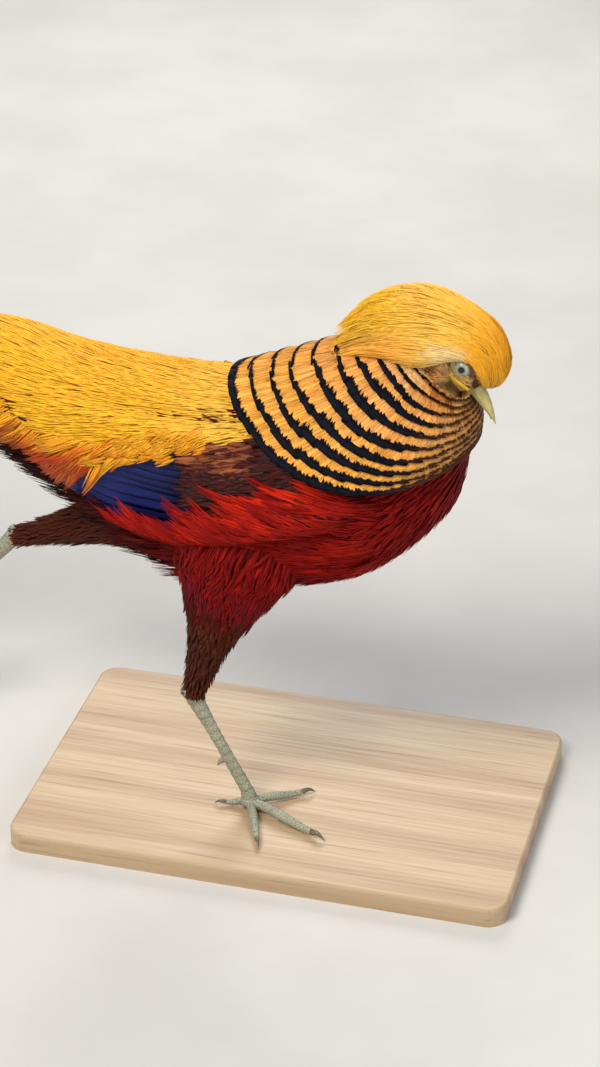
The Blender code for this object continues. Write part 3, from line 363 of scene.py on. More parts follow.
def crest(t, turn):
    """The crest at a row and an angle from its midline."""
    top_x, top_z, root_x, root_z, half_width = np.moveaxis(curve(CREST, t), -1, 0)
    x = root_x + (top_x - root_x) * np.cos(turn)
    z = root_z + (top_z - root_z) * np.cos(turn)
    return stack(x, half_width * np.sin(turn), z)


def to_world(points):
    """Points of the head's frame in the model's."""
    frame_of_head = np.array(HEAD_FRAME)
    return points @ frame_of_head[:3, :3].T + frame_of_head[:3, 3]


def face(t, turn):
    """The face at a section and an angle from the crown."""
    x, middle, half_width, rise, drop = np.moveaxis(curve(HEAD, t), -1, 0)
    height = np.where(np.cos(turn) > 0, rise, drop)
    return to_world(stack(x, half_width * np.sin(turn), middle + height * np.cos(turn)))


def wing(side):
    """The folded wing, from the shoulder back and from its upper edge down."""
    def surface(u, v):
        top = WING_TOP[0] + (WING_TOP[1] - WING_TOP[0]) * u
        low = WING_LOW[0] + (WING_LOW[1] - WING_LOW[0]) * u
        x = WING_ALONG[0] + (WING_ALONG[1] - WING_ALONG[0]) * u
        return torso(x, side * (top + (low - top) * v))

    return surface


def thigh(side):
    """The feathered leg, at a share of the way from the body to the ankle and an angle round it."""
    path = np.array([list(p) for p in LEGS[side]])
    path = np.vstack([path[0], [path[1] + (path[2] - path[1]) * u for u in np.linspace(0, 1, len(THIGH))]])
    radii = np.vstack([THIGH[0], THIGH])

    def surface(share, turn):
        row = np.asarray(share, float) * (len(path) - 1)
        place = curve(path, row)
        along = unit(curve(path, row + 0.05) - curve(path, row - 0.05))
        across = np.broadcast_to(np.array((0.0, 1.0, 0.0)), along.shape)
        other = unit(np.cross(along, across))
        wide, deep = np.moveaxis(curve(radii, row), -1, 0)
        return place + across * (wide * np.cos(turn))[..., None] + other * (deep * np.sin(turn))[..., None]

    return surface


def normals(surface, p, q, step, sign):
    """Directions out of a surface."""
    along = surface(p + step, q) - surface(p - step, q)
    around = surface(p, q + 0.01) - surface(p, q - 0.01)
    return unit(np.cross(along, around)) * sign


def over_torso(points, clear):
    """The points, moved straight out of the body where they come nearer to it than clear."""
    _, middle, half_width, rise, drop = torso_row(points[..., 0])
    y, z = points[..., 1], points[..., 2] - middle
    ratio = np.hypot(y / half_width, z / np.where(z > 0, rise, drop))
    radius = np.hypot(y, z) / np.maximum(ratio, 1e-6)
    inside = (points[..., 0] > TORSO[0, 0]) & (points[..., 0] < 0.099)
    grow = np.where(inside, np.maximum((radius + clear) / radius / np.maximum(ratio, 1e-6), 1.0), 1.0)
    out = points.copy()
    out[..., 1] = y * grow
    out[..., 2] = middle + z * grow
    return out


def wing_cover(x, angle):
    """How far the folded wing stands out over the body."""
    u = (x - WING_ALONG[0]) / (WING_ALONG[1] - WING_ALONG[0])
    top = WING_TOP[0] + (WING_TOP[1] - WING_TOP[0]) * u
    low = WING_LOW[0] + (WING_LOW[1] - WING_LOW[0]) * u
    v = (np.abs(angle) - top) / (low - top)
    along = smooth(-0.06, 0.06, u) * smooth(1.10, 0.96, u)
    across = smooth(-0.46, -0.14, v) * smooth(1.18, 1.0, v)
    return (0.0068 - 0.0024 * smooth(0.5, 1.0, u)) * along * across


def sampled(values, share):
    """Points kept at each feather's stations, at other shares of the way along it."""
    last = values.shape[1] - 1
    place = np.maximum(share, 0) * last
    k = np.minimum(place.astype(int), last - 1)
    f = (place - k)[..., None]
    rows = np.arange(len(values))[:, None]
    return values[rows, k] * (1 - f) + values[rows, k + 1] * f


def pointed_locks(draw, roots, tips, strands, spread, gather=0.25):
    """Strands of pointed locks, whose roots are spread out and whose tips are drawn together."""
    which = np.repeat(np.arange(len(roots)), strands)
    offset = draw.normal(0, 1, (len(which), 2)) * np.array(spread)
    root = roots[which] + offset
    tip = tips[which] + offset * gather
    reach = draw.uniform(0.72, 1.0, (len(which), 1))
    return root, root + (tip - root) * reach, which


# Meshes of many feathers.


# Shares of the half width along a feather, root to tip.
HAIR_PROFILE = np.array((0.55, 1.0, 0.85, 0.12))
STRAND_PROFILE = np.array((0.6, 1.0, 1.0, 0.75, 0.08))
LOCK_PROFILE = np.array((0.40, 0.95, 1.0, 0.70, 0.08))
OVAL_PROFILE = np.array((0.30, 0.80, 1.0, 0.85, 0.20))
BROAD_PROFILE = np.array((0.34, 0.62, 0.86, 1.0, 1.0, 0.98, 0.90))
PLATE_PROFILE = np.array((0.96, 0.98, 0.96, 0.86))
TAPER_PROFILE = np.array((1.0, 0.7, 0.06))
FLIGHT_PROFILE = np.array((0.40, 0.75, 0.92, 1.0, 1.0, 1.0, 0.94, 0.74, 0.22))
COVERT_PROFILE = np.array((0.4, 0.85, 1.0, 1.0, 0.9, 0.72, 0.42, 0.06))
# A hair's section: share of the half width, share of the thickness.
HAIR = np.array(((-1.0, 0.0), (0.0, 1.0), (1.0, 0.0)))


def blade_section(columns):
    """Points round a thin vane's section: share of the half width, share of the thickness."""
    top = [(a, 1.0 - abs(a)) for a in np.linspace(-1, 1, columns)]
    low = [(a, -1.0 + abs(a)) for a in np.linspace(1, -1, columns)[1:-1]]
    return np.array(top + low)


def mesh_from(name, points, quads, caps):
    """A smooth mesh from points, quads and end caps. Gives the points of its corners too."""
    mesh = bpy.data.meshes.new(name)
    loops = np.concatenate([quads.ravel(), caps.ravel()])
    sizes = np.concatenate([np.full(len(quads), 4), np.full(len(caps), caps.shape[1])])
    mesh.vertices.add(len(points))
    mesh.vertices.foreach_set("co", points.astype(np.float32).ravel())
    mesh.loops.add(len(loops))
    mesh.loops.foreach_set("vertex_index", loops.astype(np.int32))
    mesh.polygons.add(len(sizes))
    mesh.polygons.foreach_set("loop_start", (np.cumsum(sizes) - sizes).astype(np.int32))
    mesh.polygons.foreach_set("loop_total", sizes.astype(np.int32))
    mesh.update(calc_edges=True)
    mesh.polygons.foreach_set("use_smooth", np.ones(len(sizes), bool))
    return mesh, loops


def add_attribute(mesh, name, kind, values):
    """Numbers at the mesh's points, for the materials."""
    layer = mesh.attributes.new(name, kind, "POINT")
    field = {"FLOAT": "value", "FLOAT_VECTOR": "vector", "FLOAT_COLOR": "color"}[kind]
    layer.data.foreach_set(field, values.astype(np.float32).ravel())


def feather_mesh(name, paths, outward, half_width, profile, section, thick, colours, root_uv, draw,
                 camber=0.0, roll=None, side=None):
    """Closed feathers along paths (feather, station, point), coloured from root to tip. They are as wide as
    the profile says, square to the path or along the side directions given."""
    count, stations = paths.shape[:2]
    tangent = unit(np.gradient(paths, axis=1))
    if side is None:
        side = unit(np.cross(tangent, outward))
    up = unit(np.cross(side, tangent))
    if roll is not None:
        turn = np.asarray(roll, float).reshape(count, 1, 1)
        side, up = side * np.cos(turn) + up * np.sin(turn), up * np.cos(turn) - side * np.sin(turn)
    width = half_width[:, None] * profile[None, :]
    across, height = section[:, 0], section[:, 1]
    reach = width[..., None] * across
    rise = thick * (0.35 + 0.65 * (1 - np.linspace(0, 1, stations)))[None, :, None] * height
    rise = rise - camber * width[..., None] * across**2
    points = paths[:, :, None] + side[:, :, None] * reach[..., None] + up[:, :, None] * rise[..., None]
    index = np.arange(reach.size).reshape(reach.shape)
    following = np.roll(index, -1, axis=2)
    quads = np.stack([index[:, :-1], following[:, :-1], following[:, 1:], index[:, 1:]], axis=-1)
    caps = np.vstack([index[:, 0, ::-1], index[:, -1]])
    mesh, loops = mesh_from(name, points.reshape(-1, 3), quads.reshape(-1, 4), caps)
    mark_feathers(mesh, loops, paths, reach, across, colours, root_uv, draw)
    return mesh


def mark_feathers(mesh, loops, paths, reach, across, colours, root_uv, draw):
    """Gives each point its place on its feather, its colour, and its place on the unwrap."""
    count, stations, ring = reach.shape
    along = np.linspace(0, 1, stations)[None, :, None]
    step = np.linalg.norm(np.diff(paths, axis=1), axis=2)
    reached = np.concatenate([np.zeros((count, 1)), np.cumsum(step, axis=1)], axis=1)
    tone = draw.uniform(0, 1, count)[:, None, None]
    add_attribute(mesh, "vane", "FLOAT_VECTOR", stack(across, along, tone))
    add_attribute(mesh, "span", "FLOAT_VECTOR", stack(reach, reached[..., None], tone * 7.0))
    # Most callers give the root a darker copy of the tip's colour: painted shade under the feathers that
    # lie over it. The wing's tiers give two colours of their own.
    root_colour, tip_colour = colours
    paint = root_colour[:, None] + (tip_colour - root_colour)[:, None] * along**1.3
    paint = np.repeat(paint.reshape(-1, 3), ring, axis=0)
    add_attribute(mesh, "paint", "FLOAT_COLOR", np.column_stack([paint, np.ones(len(paint))]))
    patch = np.stack(np.broadcast_arrays(across * PATCH / 2, (along - 0.5) * PATCH), axis=-1)
    uv = (root_uv[:, None, None] + patch).reshape(-1, 2)
    layer = mesh.uv_layers.new(name="OFBake")
    layer.data.foreach_set("uv", uv[loops].astype(np.float32).ravel())


def piece(name, mesh, looks, replaces=()):
    """A piece of the visual model, riding on the bird."""
    made = bpy.data.objects.new(name, mesh)
    bpy.context.scene.collection.objects.link(made)
    mesh.materials.clear()
    mesh.materials.append(looks)
    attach(made, "root")
    if replaces:
        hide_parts(*replaces)
    return made


def coat_piece(name, laid, half_width, colours, uv, draw, roll, looks, slot, thick=0.0003,
               profile=HAIR_PROFILE, section=HAIR, camber=0.0):
    """A piece of the coat, from laid feathers that are rolled a little, each by its own angle."""
    paths, out = laid
    rolls = draw.normal(0, roll, len(paths))
    mesh = feather_mesh(name, paths, out, half_width, profile, section, thick, colours, uv, draw, camber,
                        rolls)
    piece(name, mesh, looks)


def coat_halves(name, laid, half_width, colours, uv, draw, roll, looks, slot, *shape):
    """Two pieces of the coat, so that each stays light."""
    half = len(half_width) // 2
    for k, part in enumerate((slice(0, half), slice(half, None)), 1):
        coat_piece(f"{name}_{k}", [a[part] for a in laid], half_width[part], [c[part] for c in colours],
                   uv[part], draw, roll, looks, slot, *shape)


def staggered(surface, places, low, high, gap, draw, jitter=0.36):
    """Roots in rows: the place of each row, its two ends, and the gap between roots. Gives (p, q) pairs."""
    roots = []
    places = np.asarray(places, float)
    pitch = abs(places[1] - places[0])
    for row, place in enumerate(places):
        start, stop = low(place), high(place)
        probe = np.linspace(start, stop, 33)
        length = np.linalg.norm(np.diff(surface(np.full(33, place), probe), axis=0), axis=1).sum()
        count = int(length / gap)
        if count < 1:
            continue
        share = (np.arange(count) + 0.5 * (row % 2) + 0.25 + draw.uniform(-jitter, jitter, count)) / count
        across = start + (stop - start) * share
        roots.append(np.column_stack([place + draw.uniform(-jitter, jitter, count) * pitch, across]))
    return np.vstack(roots)


def lay(surface, sign, step, root, tip, low, high, stations, bend=None, power=0.75, cover=None):
    """Paths over a surface, and over what covers it, from roots to tips. They rise from a low to a high
    distance. Gives the directions out of the surface too."""
    share = np.linspace(0, 1, stations)[None, :]
    p = root[:, :1] + (tip[:, :1] - root[:, :1]) * share
    q = root[:, 1:] + (tip[:, 1:] - root[:, 1:]) * share
    if bend is not None:
        q = q + bend[:, None] * np.sin(math.pi * share)
    out = normals(surface, p, q, step, sign)
    low, high = np.asarray(low, float).reshape(-1, 1), np.asarray(high, float).reshape(-1, 1)
    height = low + (high - low) * share**power
    if cover is not None:
        height = height + cover(p, q) * smooth(0.0, 0.2, share)
    return surface(p, q) + out * height[..., None], out


# The skin.


def finished(made, name="shape"):
    """A smooth mesh from what was made."""
    for f in made.faces:
        f.smooth = True
    mesh = bpy.data.meshes.new(name)
    made.to_mesh(mesh)
    made.free()
    return mesh


def join_rows(made, a, b):
    """Faces between two closed rows of points."""
    for i in range(len(a)):
        j = (i + 1) % len(a)
        made.faces.new((a[i], a[j], b[j], b[i]))


def loft_mesh(rings, ends=(None, None)):
    """A closed mesh through rings of points, with a point at each end."""
    made = bmesh.new()
    rows = [[made.verts.new(p) for p in ring] for ring in rings]
    for a, b in zip(rows, rows[1:]):
        join_rows(made, a, b)
    for row, end in ((rows[0], ends[0]), (rows[-1], ends[1])):
        pole = made.verts.new(np.mean([v.co for v in row], axis=0) if end is None else end)
        for i in range(len(row)):
            made.faces.new((row[i], row[(i + 1) % len(row)], pole))
    bmesh.ops.recalc_face_normals(made, faces=made.faces)
    return finished(made)


def grid_mesh(surface, rows, turns, depth, sign, step):
    """A closed mesh from a surface at a depth under it."""
    p, q = np.meshgrid(rows, turns, indexing="ij")
    points = surface(p, q) + normals(surface, p, q, step, sign) * -depth
    return loft_mesh([[Vector(v) for v in ring] for ring in points])


def full_turn(count):
    """Angles all the way round."""
    return np.linspace(0, 2 * math.pi, count, endpoint=False)


def crest_core():
    """The crown's skin and down, at under half of the crest's height."""
    rings = []
    for t in np.linspace(0.0, 5.6, 24):
        row = curve(CREST, t)
        top, root = np.array((row[0], 0, row[1])), np.array((row[2], 0, row[3]))
        ring = []
        for turn in full_turn(24):
            share = 0.44 if math.cos(turn) > 0 else 0.14
            rise = (top - root) * math.cos(turn) * share
            ring.append(Vector(root + rise + np.array((0, row[4] * 0.66 * math.sin(turn), 0))))
        rings.append(ring)
    return loft_mesh(rings)


def tail_stump():
    """The rump's fleshy end, inside the roots of the tail."""
    rings = []
    for distance, half_width, rise, drop in TAIL_STUMP:
        place, along = tail_line(distance)
        up = np.cross((0, 1, 0), along)
        ring = []
        for turn in full_turn(20):
            height = rise if math.cos(turn) > 0 else drop
            sideways = np.array((0, half_width * math.sin(turn), 0))
            ring.append(Vector(place + sideways + up * height * math.cos(turn)))
        rings.append(ring)
    return loft_mesh(rings)


def join_meshes(meshes, name):
    """One mesh from several closed ones."""
    made = bmesh.new()
    for mesh in meshes:
        made.from_mesh(mesh)
        bpy.data.meshes.remove(mesh)
    return finished(made, name)


def applied(obj):
    """A mesh of the object with its modifiers applied."""
    bpy.context.view_layer.update()
    graph = bpy.context.evaluated_depsgraph_get()
    return bpy.data.meshes.new_from_object(obj.evaluated_get(graph))


def skin_mesh():
    """One closed skin from the bill to the tail, which lies under the coat."""
    parts = [
        grid_mesh(torso, np.linspace(-0.2055, 0.1030, 40), full_turn(48), COAT, 1, 0.0015),
        grid_mesh(cape, np.linspace(0.02, 2.2, 16), full_turn(40), 0.0062, -1, HEAD_STEP),
        crest_core(),
        tail_stump(),
    ]
    for side in SIDES:
        rows = np.linspace(0, 0.995, 24)
        parts.append(grid_mesh(thigh(side), rows, full_turn(24), THIGH_COAT, -1, THIGH_STEP))
    parts.append(grid_mesh(face, np.linspace(0, len(HEAD) - 1, 24), full_turn(40), 0.0012, 1, HEAD_STEP))
    # The neck, from inside the cape into the head.
    start, end = Vector((0.074, 0, 0.302)), HEAD_FRAME.translation
    rings = []
    for share, size in ((0.0, 0.0168), (0.25, 0.0150), (0.5, 0.0140), (0.75, 0.0130), (1.0, 0.0110)):
        place = start + (end - start) * share
        rings.append([place + Vector((0.35 * math.cos(a), math.sin(a), math.cos(a))) * size
                      for a in full_turn(24)])
    parts.append(loft_mesh(rings))
    skin = bpy.data.objects.new("skin_work", join_meshes(parts, "skin"))
    bpy.context.scene.collection.objects.link(skin)
    remesh = skin.modifiers.new("close", "REMESH")
    remesh.mode = "VOXEL"
    remesh.voxel_size = SKIN_VOXEL
    remesh.use_smooth_shade = True
    soften = skin.modifiers.new("soften", "SMOOTH")
    soften.iterations = 4
    mesh = applied(skin)
    bpy.data.objects.remove(skin)
    sink_sockets(mesh)
    return mesh


def sink_sockets(mesh):
    """Presses the skin in round each eyeball, so that it never covers the eye."""
    into_head = HEAD_FRAME.inverted()
    for v in mesh.vertices:
        place = into_head @ v.co
        from_eye = math.hypot(place.x - EYE_AT.x, place.z - EYE_AT.z)
        if from_eye > EYE_RADIUS * 1.1 or abs(place.y) < 0.004:
            continue
        ball = EYE_AT.y + math.sqrt(max(EYE_RADIUS**2 - from_eye**2, 0.0)) - 0.0009
        if abs(place.y) > ball:
            place.y = math.copysign(ball, place.y)
            v.co = HEAD_FRAME @ place


# Regions of the coat. Each gives the colour of a feather from where it is rooted.


def golden_edge(x):
    """How far round from straight up the golden plumage of the back comes down, at x."""
    xs = (-0.20, -0.161, -0.144, -0.125, -0.100, -0.081, -0.070, -0.050, -0.035, -0.02, 0.02)
    angles = (84, 95, 104, 102, 93, 82, 76, 67, 63, 59, 49)
    return np.radians(np.interp(x, xs, angles))


def body_colour(x, angle, draw):
    """The plumage of the body below the gold: crimson, scarlet on the side, black behind, painted purple
    sheen below.
    """
    count = len(x)
    angle = np.abs(angle)
    spot = draw.uniform(0, 1, count)
    tone = mix(CRIMSON, SCARLET, 0.05 + 0.45 * spot)
    side = smooth(1.1, 1.5, angle) * smooth(2.2, 1.8, angle)
    side = side * smooth(0.08, 0.03, x) * smooth(-0.11, -0.05, x)
    tone = mix(tone, SCARLET, side * 0.5)
    # Painted purple sheen on the belly next to the thighs.
    under = smooth(2.1, 2.6, angle) * smooth(-0.08, -0.03, x) * smooth(0.06, 0.01, x)
    tone = mix(tone, PAINTED_PURPLE_SHEEN, under * (0.35 + 0.3 * spot))
    high = smooth(1.25, 0.9, angle)
    tone = mix(tone, MAROON, high * 0.8)
    rear = smooth(-0.080, -0.105, x) * smooth(1.3, 1.6, angle)
    tone = mix(tone, mix(BLACK, DARK_BROWN, spot), rear * 0.95)
    return tone


def uv_of(p, q, p_range, q_range):
    """Places on the unwrap of a surface, kept off its border."""
    u = 0.02 + 0.96 * (p - p_range[0]) / (p_range[1] - p_range[0])
    v = 0.02 + 0.96 * (q - q_range[0]) / (q_range[1] - q_range[0])
    return np.clip(np.column_stack([u, v]), 0.01, 0.99)


def body_uv(x, angle):
    return uv_of(x, angle, BODY_P, ROUND_Q)


COAT_ROOTS = []


def remember(points, colours):
    """Keeps where a region's feathers grow and their colour, for the skin under them."""
    COAT_ROOTS.append((points, colours))


def shaded(colour, draw, spread):
    """A colour for each feather, a little lighter or darker."""
    return colour * (1 + draw.uniform(-spread, spread, (len(colour), 1)))


def body_feathers(looks):
    """Short, rather narrow feathers of the breast, belly and flanks."""
    draw = np.random.default_rng(21)
    places = np.arange(0.1035, -0.206, -0.0027)
    root = staggered(torso, places, lambda x: golden_edge(x) - 0.40,
                     lambda x: 2 * math.pi - golden_edge(x) + 0.40, 0.0026, draw)
    signed = np.where(root[:, 1] > math.pi, root[:, 1] - 2 * math.pi, root[:, 1])
    # None grows where the wing or the cape hides them.
    under_cape = (root[:, 0] > 0.030) & (np.abs(signed) < 1.0)
    shown = (wing_cover(root[:, 0], signed) <= 0.0035) & ~under_cape
    root, signed = root[shown], signed[shown]
    x, angle = root.T
    count = len(root)
    # Fine feathers on the breast, longer ones towards the vent.
    length = 0.012 + 0.008 * smooth(0.08, -0.02, x) + draw.uniform(-0.002, 0.002, count)
    length += 0.006 * smooth(-0.08, -0.15, x)
    down = draw.normal(0.0, 0.12, count) + 0.30 * smooth(0.04, 0.10, x)
    tip = np.column_stack([
        np.maximum(x - length * np.cos(down), BODY_END),
        angle + np.sign(signed) * length * np.sin(down) / BODY_RADIUS,
    ])
    high = 0.0003 + draw.uniform(-0.0006, 0.0010, count)
    bend = draw.normal(0, 0.012, count)
    laid = lay(torso, 1, BODY_STEP, root, tip, -COAT - 0.0004, high, 4, bend)
    colour = shaded(body_colour(x, signed, draw), draw, 0.18)
    remember(laid[0][:, 0], colour)
    width = 0.0011 + 0.0008 * draw.uniform(0, 1, count)
    coat_halves("body_feathers", laid, width, (colour * 0.65, colour * 1.10),
                body_uv(x, signed), draw, 0.16, looks, "body_feathers")


def vent_plumes(looks):
    """Loose dark red plumes behind the legs, which hang clear of the body."""
    draw = np.random.default_rng(34)
    for side in SIDES:
        x = draw.uniform(-0.165, -0.022, VENT_LOCKS)
        angle = np.radians(draw.uniform(118, 172, VENT_LOCKS))
        roots = np.column_stack([x, side * angle])
        length = draw.uniform(0.022, 0.036, VENT_LOCKS)
        tips = np.column_stack([x - length, side * (angle + draw.uniform(-0.05, 0.15, VENT_LOCKS))])
        root, tip, which = pointed_locks(draw, roots, tips, VENT_STRANDS, (0.0022, 0.05))
        count = len(root)
        high = (0.0045 + 0.0055 * draw.uniform(0, 1, VENT_LOCKS))[which]
        high += draw.uniform(-0.0010, 0.0010, count)
        high *= smooth(0.0, 0.4, math.pi - angle)[which] * 0.6 + 0.4
        laid = lay(torso, 1, BODY_STEP, root, tip, -0.0016, high, 4, None, 1.2)
        spot = draw.uniform(0, 1, count)
        colour = mix(CRIMSON, MAROON, spot)
        colour = mix(colour, mix(DARK_BROWN, MAROON, spot), smooth(-0.045, -0.075, root[:, 0]) * 0.9)
        colour = mix(colour, BLACK, smooth(-0.080, -0.110, root[:, 0]) * 0.6)
        coat_piece(f"vent_plumes_{SIDE_NAMES[side]}", laid, draw.uniform(0.0005, 0.0009, count),
                   (colour * 0.6, colour * 1.1), body_uv(*root.T), draw, 0.3, looks, "body_feathers")


def back_plumes(looks):
    """The hair-like golden plumage of the back and rump."""
    draw = np.random.default_rng(22)
    places = np.arange(0.020, -0.204, -0.0021)
    # The plumes reach a little lower than their roots.
    root = staggered(torso, places, lambda x: 0.14 - golden_edge(x), lambda x: golden_edge(x) - 0.14,
                     0.0016, draw)
    x, angle = root.T
    count = len(root)
    length = 0.027 + draw.uniform(-0.005, 0.007, count)
    length *= 1 - 0.35 * smooth(-0.02, 0.02, x)
    length *= 1 - 0.25 * smooth(0.8, 1.0, np.abs(angle) / golden_edge(x))
    down = 0.06 + 0.44 * smooth(0.1, 1.5, np.abs(angle)) + draw.normal(0, 0.05, count)
    tip = np.column_stack([
        x - length * np.cos(down),
        angle + np.sign(angle) * length * np.sin(down) / 0.048,
    ])
    rump = -0.2055
    over = np.minimum(tip[:, 0] - rump, 0.0)
    tip[:, 0] = np.maximum(tip[:, 0], rump)
    high = 0.0007 + draw.uniform(-0.0004, 0.0006, count)
    bend = draw.normal(0, 0.015, count)
    paths, out = lay(torso, 1, BODY_STEP, root, tip, -COAT - 0.0003, high, 5, bend, 0.75, wing_cover)
    # The plumes of the rump run on over the root of the tail.
    share = np.linspace(0, 1, 5)[None, :]
    paths[..., 0] += over[:, None] * share
    paths[..., 2] -= over[:, None] * share * 0.28
    edge = smooth(0.72, 1.0, np.abs(angle) / golden_edge(x))
    spot = draw.uniform(0, 1, count)
    colour = mix(GOLD, BRIGHT_GOLD, spot)
    colour = mix(colour, PALE_GOLD, smooth(-0.06, 0.0, x) * (0.35 + 0.3 * spot))
    colour = mix(colour, DEEP_GOLD, edge * 0.6 * spot)
    colour = mix(colour, ORANGE, smooth(-0.15, -0.20, x) * 0.30)
    colour = shaded(colour, draw, 0.10)
    remember(paths[:, 0], mix(colour, DEEP_GOLD, 0.6) * 1.7)
    width = 0.00062 + 0.00034 * draw.uniform(0, 1, count)
    coat_halves("back_plumes", (paths, out), width, (mix(colour, DEEP_GOLD, 0.35), colour * 1.04),
                body_uv(x, angle), draw, 0.10, looks, "body_feathers", 0.00020, LOCK_PROFILE)


def edge_plumes(looks):
    """Pointed orange and red locks that hang from under the gold, short in front and long behind."""
    draw = np.random.default_rng(23)
    for side in SIDES:
        x = draw.uniform(-0.168, -0.035, EDGE_LOCKS)
        angle = golden_edge(x) - draw.uniform(0.02, 0.26, EDGE_LOCKS)
        rear = smooth(-0.075, -0.105, x)
        length = (0.011 + 0.019 * rear) * draw.uniform(0.75, 1.15, EDGE_LOCKS)
        down = 0.55 + 0.25 * rear + draw.normal(0, 0.16, EDGE_LOCKS)
        roots = np.column_stack([x, side * angle])
        tips = np.column_stack([
            np.maximum(x - length * np.cos(down), BODY_END),
            side * (angle + length * np.sin(down) / 0.042),
        ])
        root, tip, which = pointed_locks(draw, roots, tips, EDGE_STRANDS, (0.0018, 0.040))
        count = len(root)
        level = draw.uniform(0, 1, EDGE_LOCKS)[which]
        high = 0.0012 + 0.0018 * level + draw.uniform(-0.0005, 0.0005, count) + 0.0030 * rear[which] * level
        laid = lay(torso, 1, BODY_STEP, root, tip, -0.001, high, 4, None, 0.75, wing_cover)
        spot = draw.uniform(0, 1, EDGE_LOCKS)[which] * 0.75 + draw.uniform(0, 1, count) * 0.25
        lower = smooth(0.20, 0.04, golden_edge(root[:, 0]) - np.abs(root[:, 1]))
        spot = spot * (0.25 + 0.75 * rear[which]) * (0.5 + 0.5 * lower)
        colour = mix(GOLD, DEEP_GOLD, smooth(0.0, 0.12, spot))
        colour = mix(colour, FLAME, smooth(0.10, 0.25, spot))
        colour = mix(colour, SCARLET, smooth(0.24, 0.42, spot))
        colour = mix(colour, CRIMSON, smooth(-0.120, -0.150, root[:, 0]) * smooth(0.15, 0.4, spot) * 0.8)
        base = mix(mix(GOLD, DEEP_GOLD, 0.5), colour, smooth(0.25, 0.5, spot) * 0.7)
        coat_piece(f"edge_plumes_{SIDE_NAMES[side]}", laid, draw.uniform(0.0005, 0.0008, count),
                   (base, colour * 1.06), body_uv(*root.T), draw, 0.2, looks, "body_feathers", 0.0002)


def flank_top(x):
    """The highest roots of the flank's locks at x, in degrees from straight up."""
    xs = (-0.070, -0.050, -0.035, -0.020, -0.005, 0.020, 0.045, 0.066)
    return np.interp(x, xs, (133, 124, 115, 102, 91, 84, 80, 74))


def flank_plumes(looks):
    """Long loose red locks of the flank, swept back and up over the wing."""
    draw = np.random.default_rng(24)
    for side in SIDES:
        x = draw.uniform(-0.070, 0.066, FLANK_LOCKS)
        angle = np.radians(flank_top(x) + (142 - flank_top(x)) * draw.uniform(0, 1, FLANK_LOCKS) ** 0.95)
        length = draw.uniform(0.022, 0.042, FLANK_LOCKS)
        up = -0.30 - 0.15 * smooth(-0.02, -0.05, x) + draw.normal(0, 0.10, FLANK_LOCKS)
        roots = np.column_stack([x, side * angle])
        tips = np.column_stack([x - length * np.cos(up), side * (angle + length * np.sin(up) / 0.055)])
        root, tip, which = pointed_locks(draw, roots, tips, FLANK_STRANDS, (0.0028, 0.042), 0.30)
        count = len(root)
        level = draw.uniform(0, 1, FLANK_LOCKS)[which]
        high = 0.0010 + 0.0016 * level + draw.uniform(-0.0004, 0.0004, count)
        laid = lay(torso, 1, BODY_STEP, root, tip, -0.0012, high, 4, None, 0.75, wing_cover)
        tone = draw.uniform(0, 1, FLANK_LOCKS)[which] * 0.7 + draw.uniform(0, 1, count) * 0.3
        colour = mix(CRIMSON, SCARLET, tone)
        # Painted highlight: the brighter locks high on the flank, behind the breast, turn bright red.
        bright = smooth(1.95, 1.55, np.abs(root[:, 1])) * smooth(0.06, 0.03, root[:, 0])
        colour = mix(colour, PAINTED_HIGHLIGHT_RED, bright * 0.8 * smooth(0.30, 0.75, tone))
        colour = mix(colour, MAROON, smooth(0.25, 0.0, tone) * 0.6)
        colour = shaded(colour, draw, 0.14)
        coat_piece(f"flank_plumes_{SIDE_NAMES[side]}", laid, draw.uniform(0.0005, 0.0009, count),
                   (colour * 0.7, colour * 1.08), body_uv(*root.T), draw, 0.3, looks, "body_feathers")


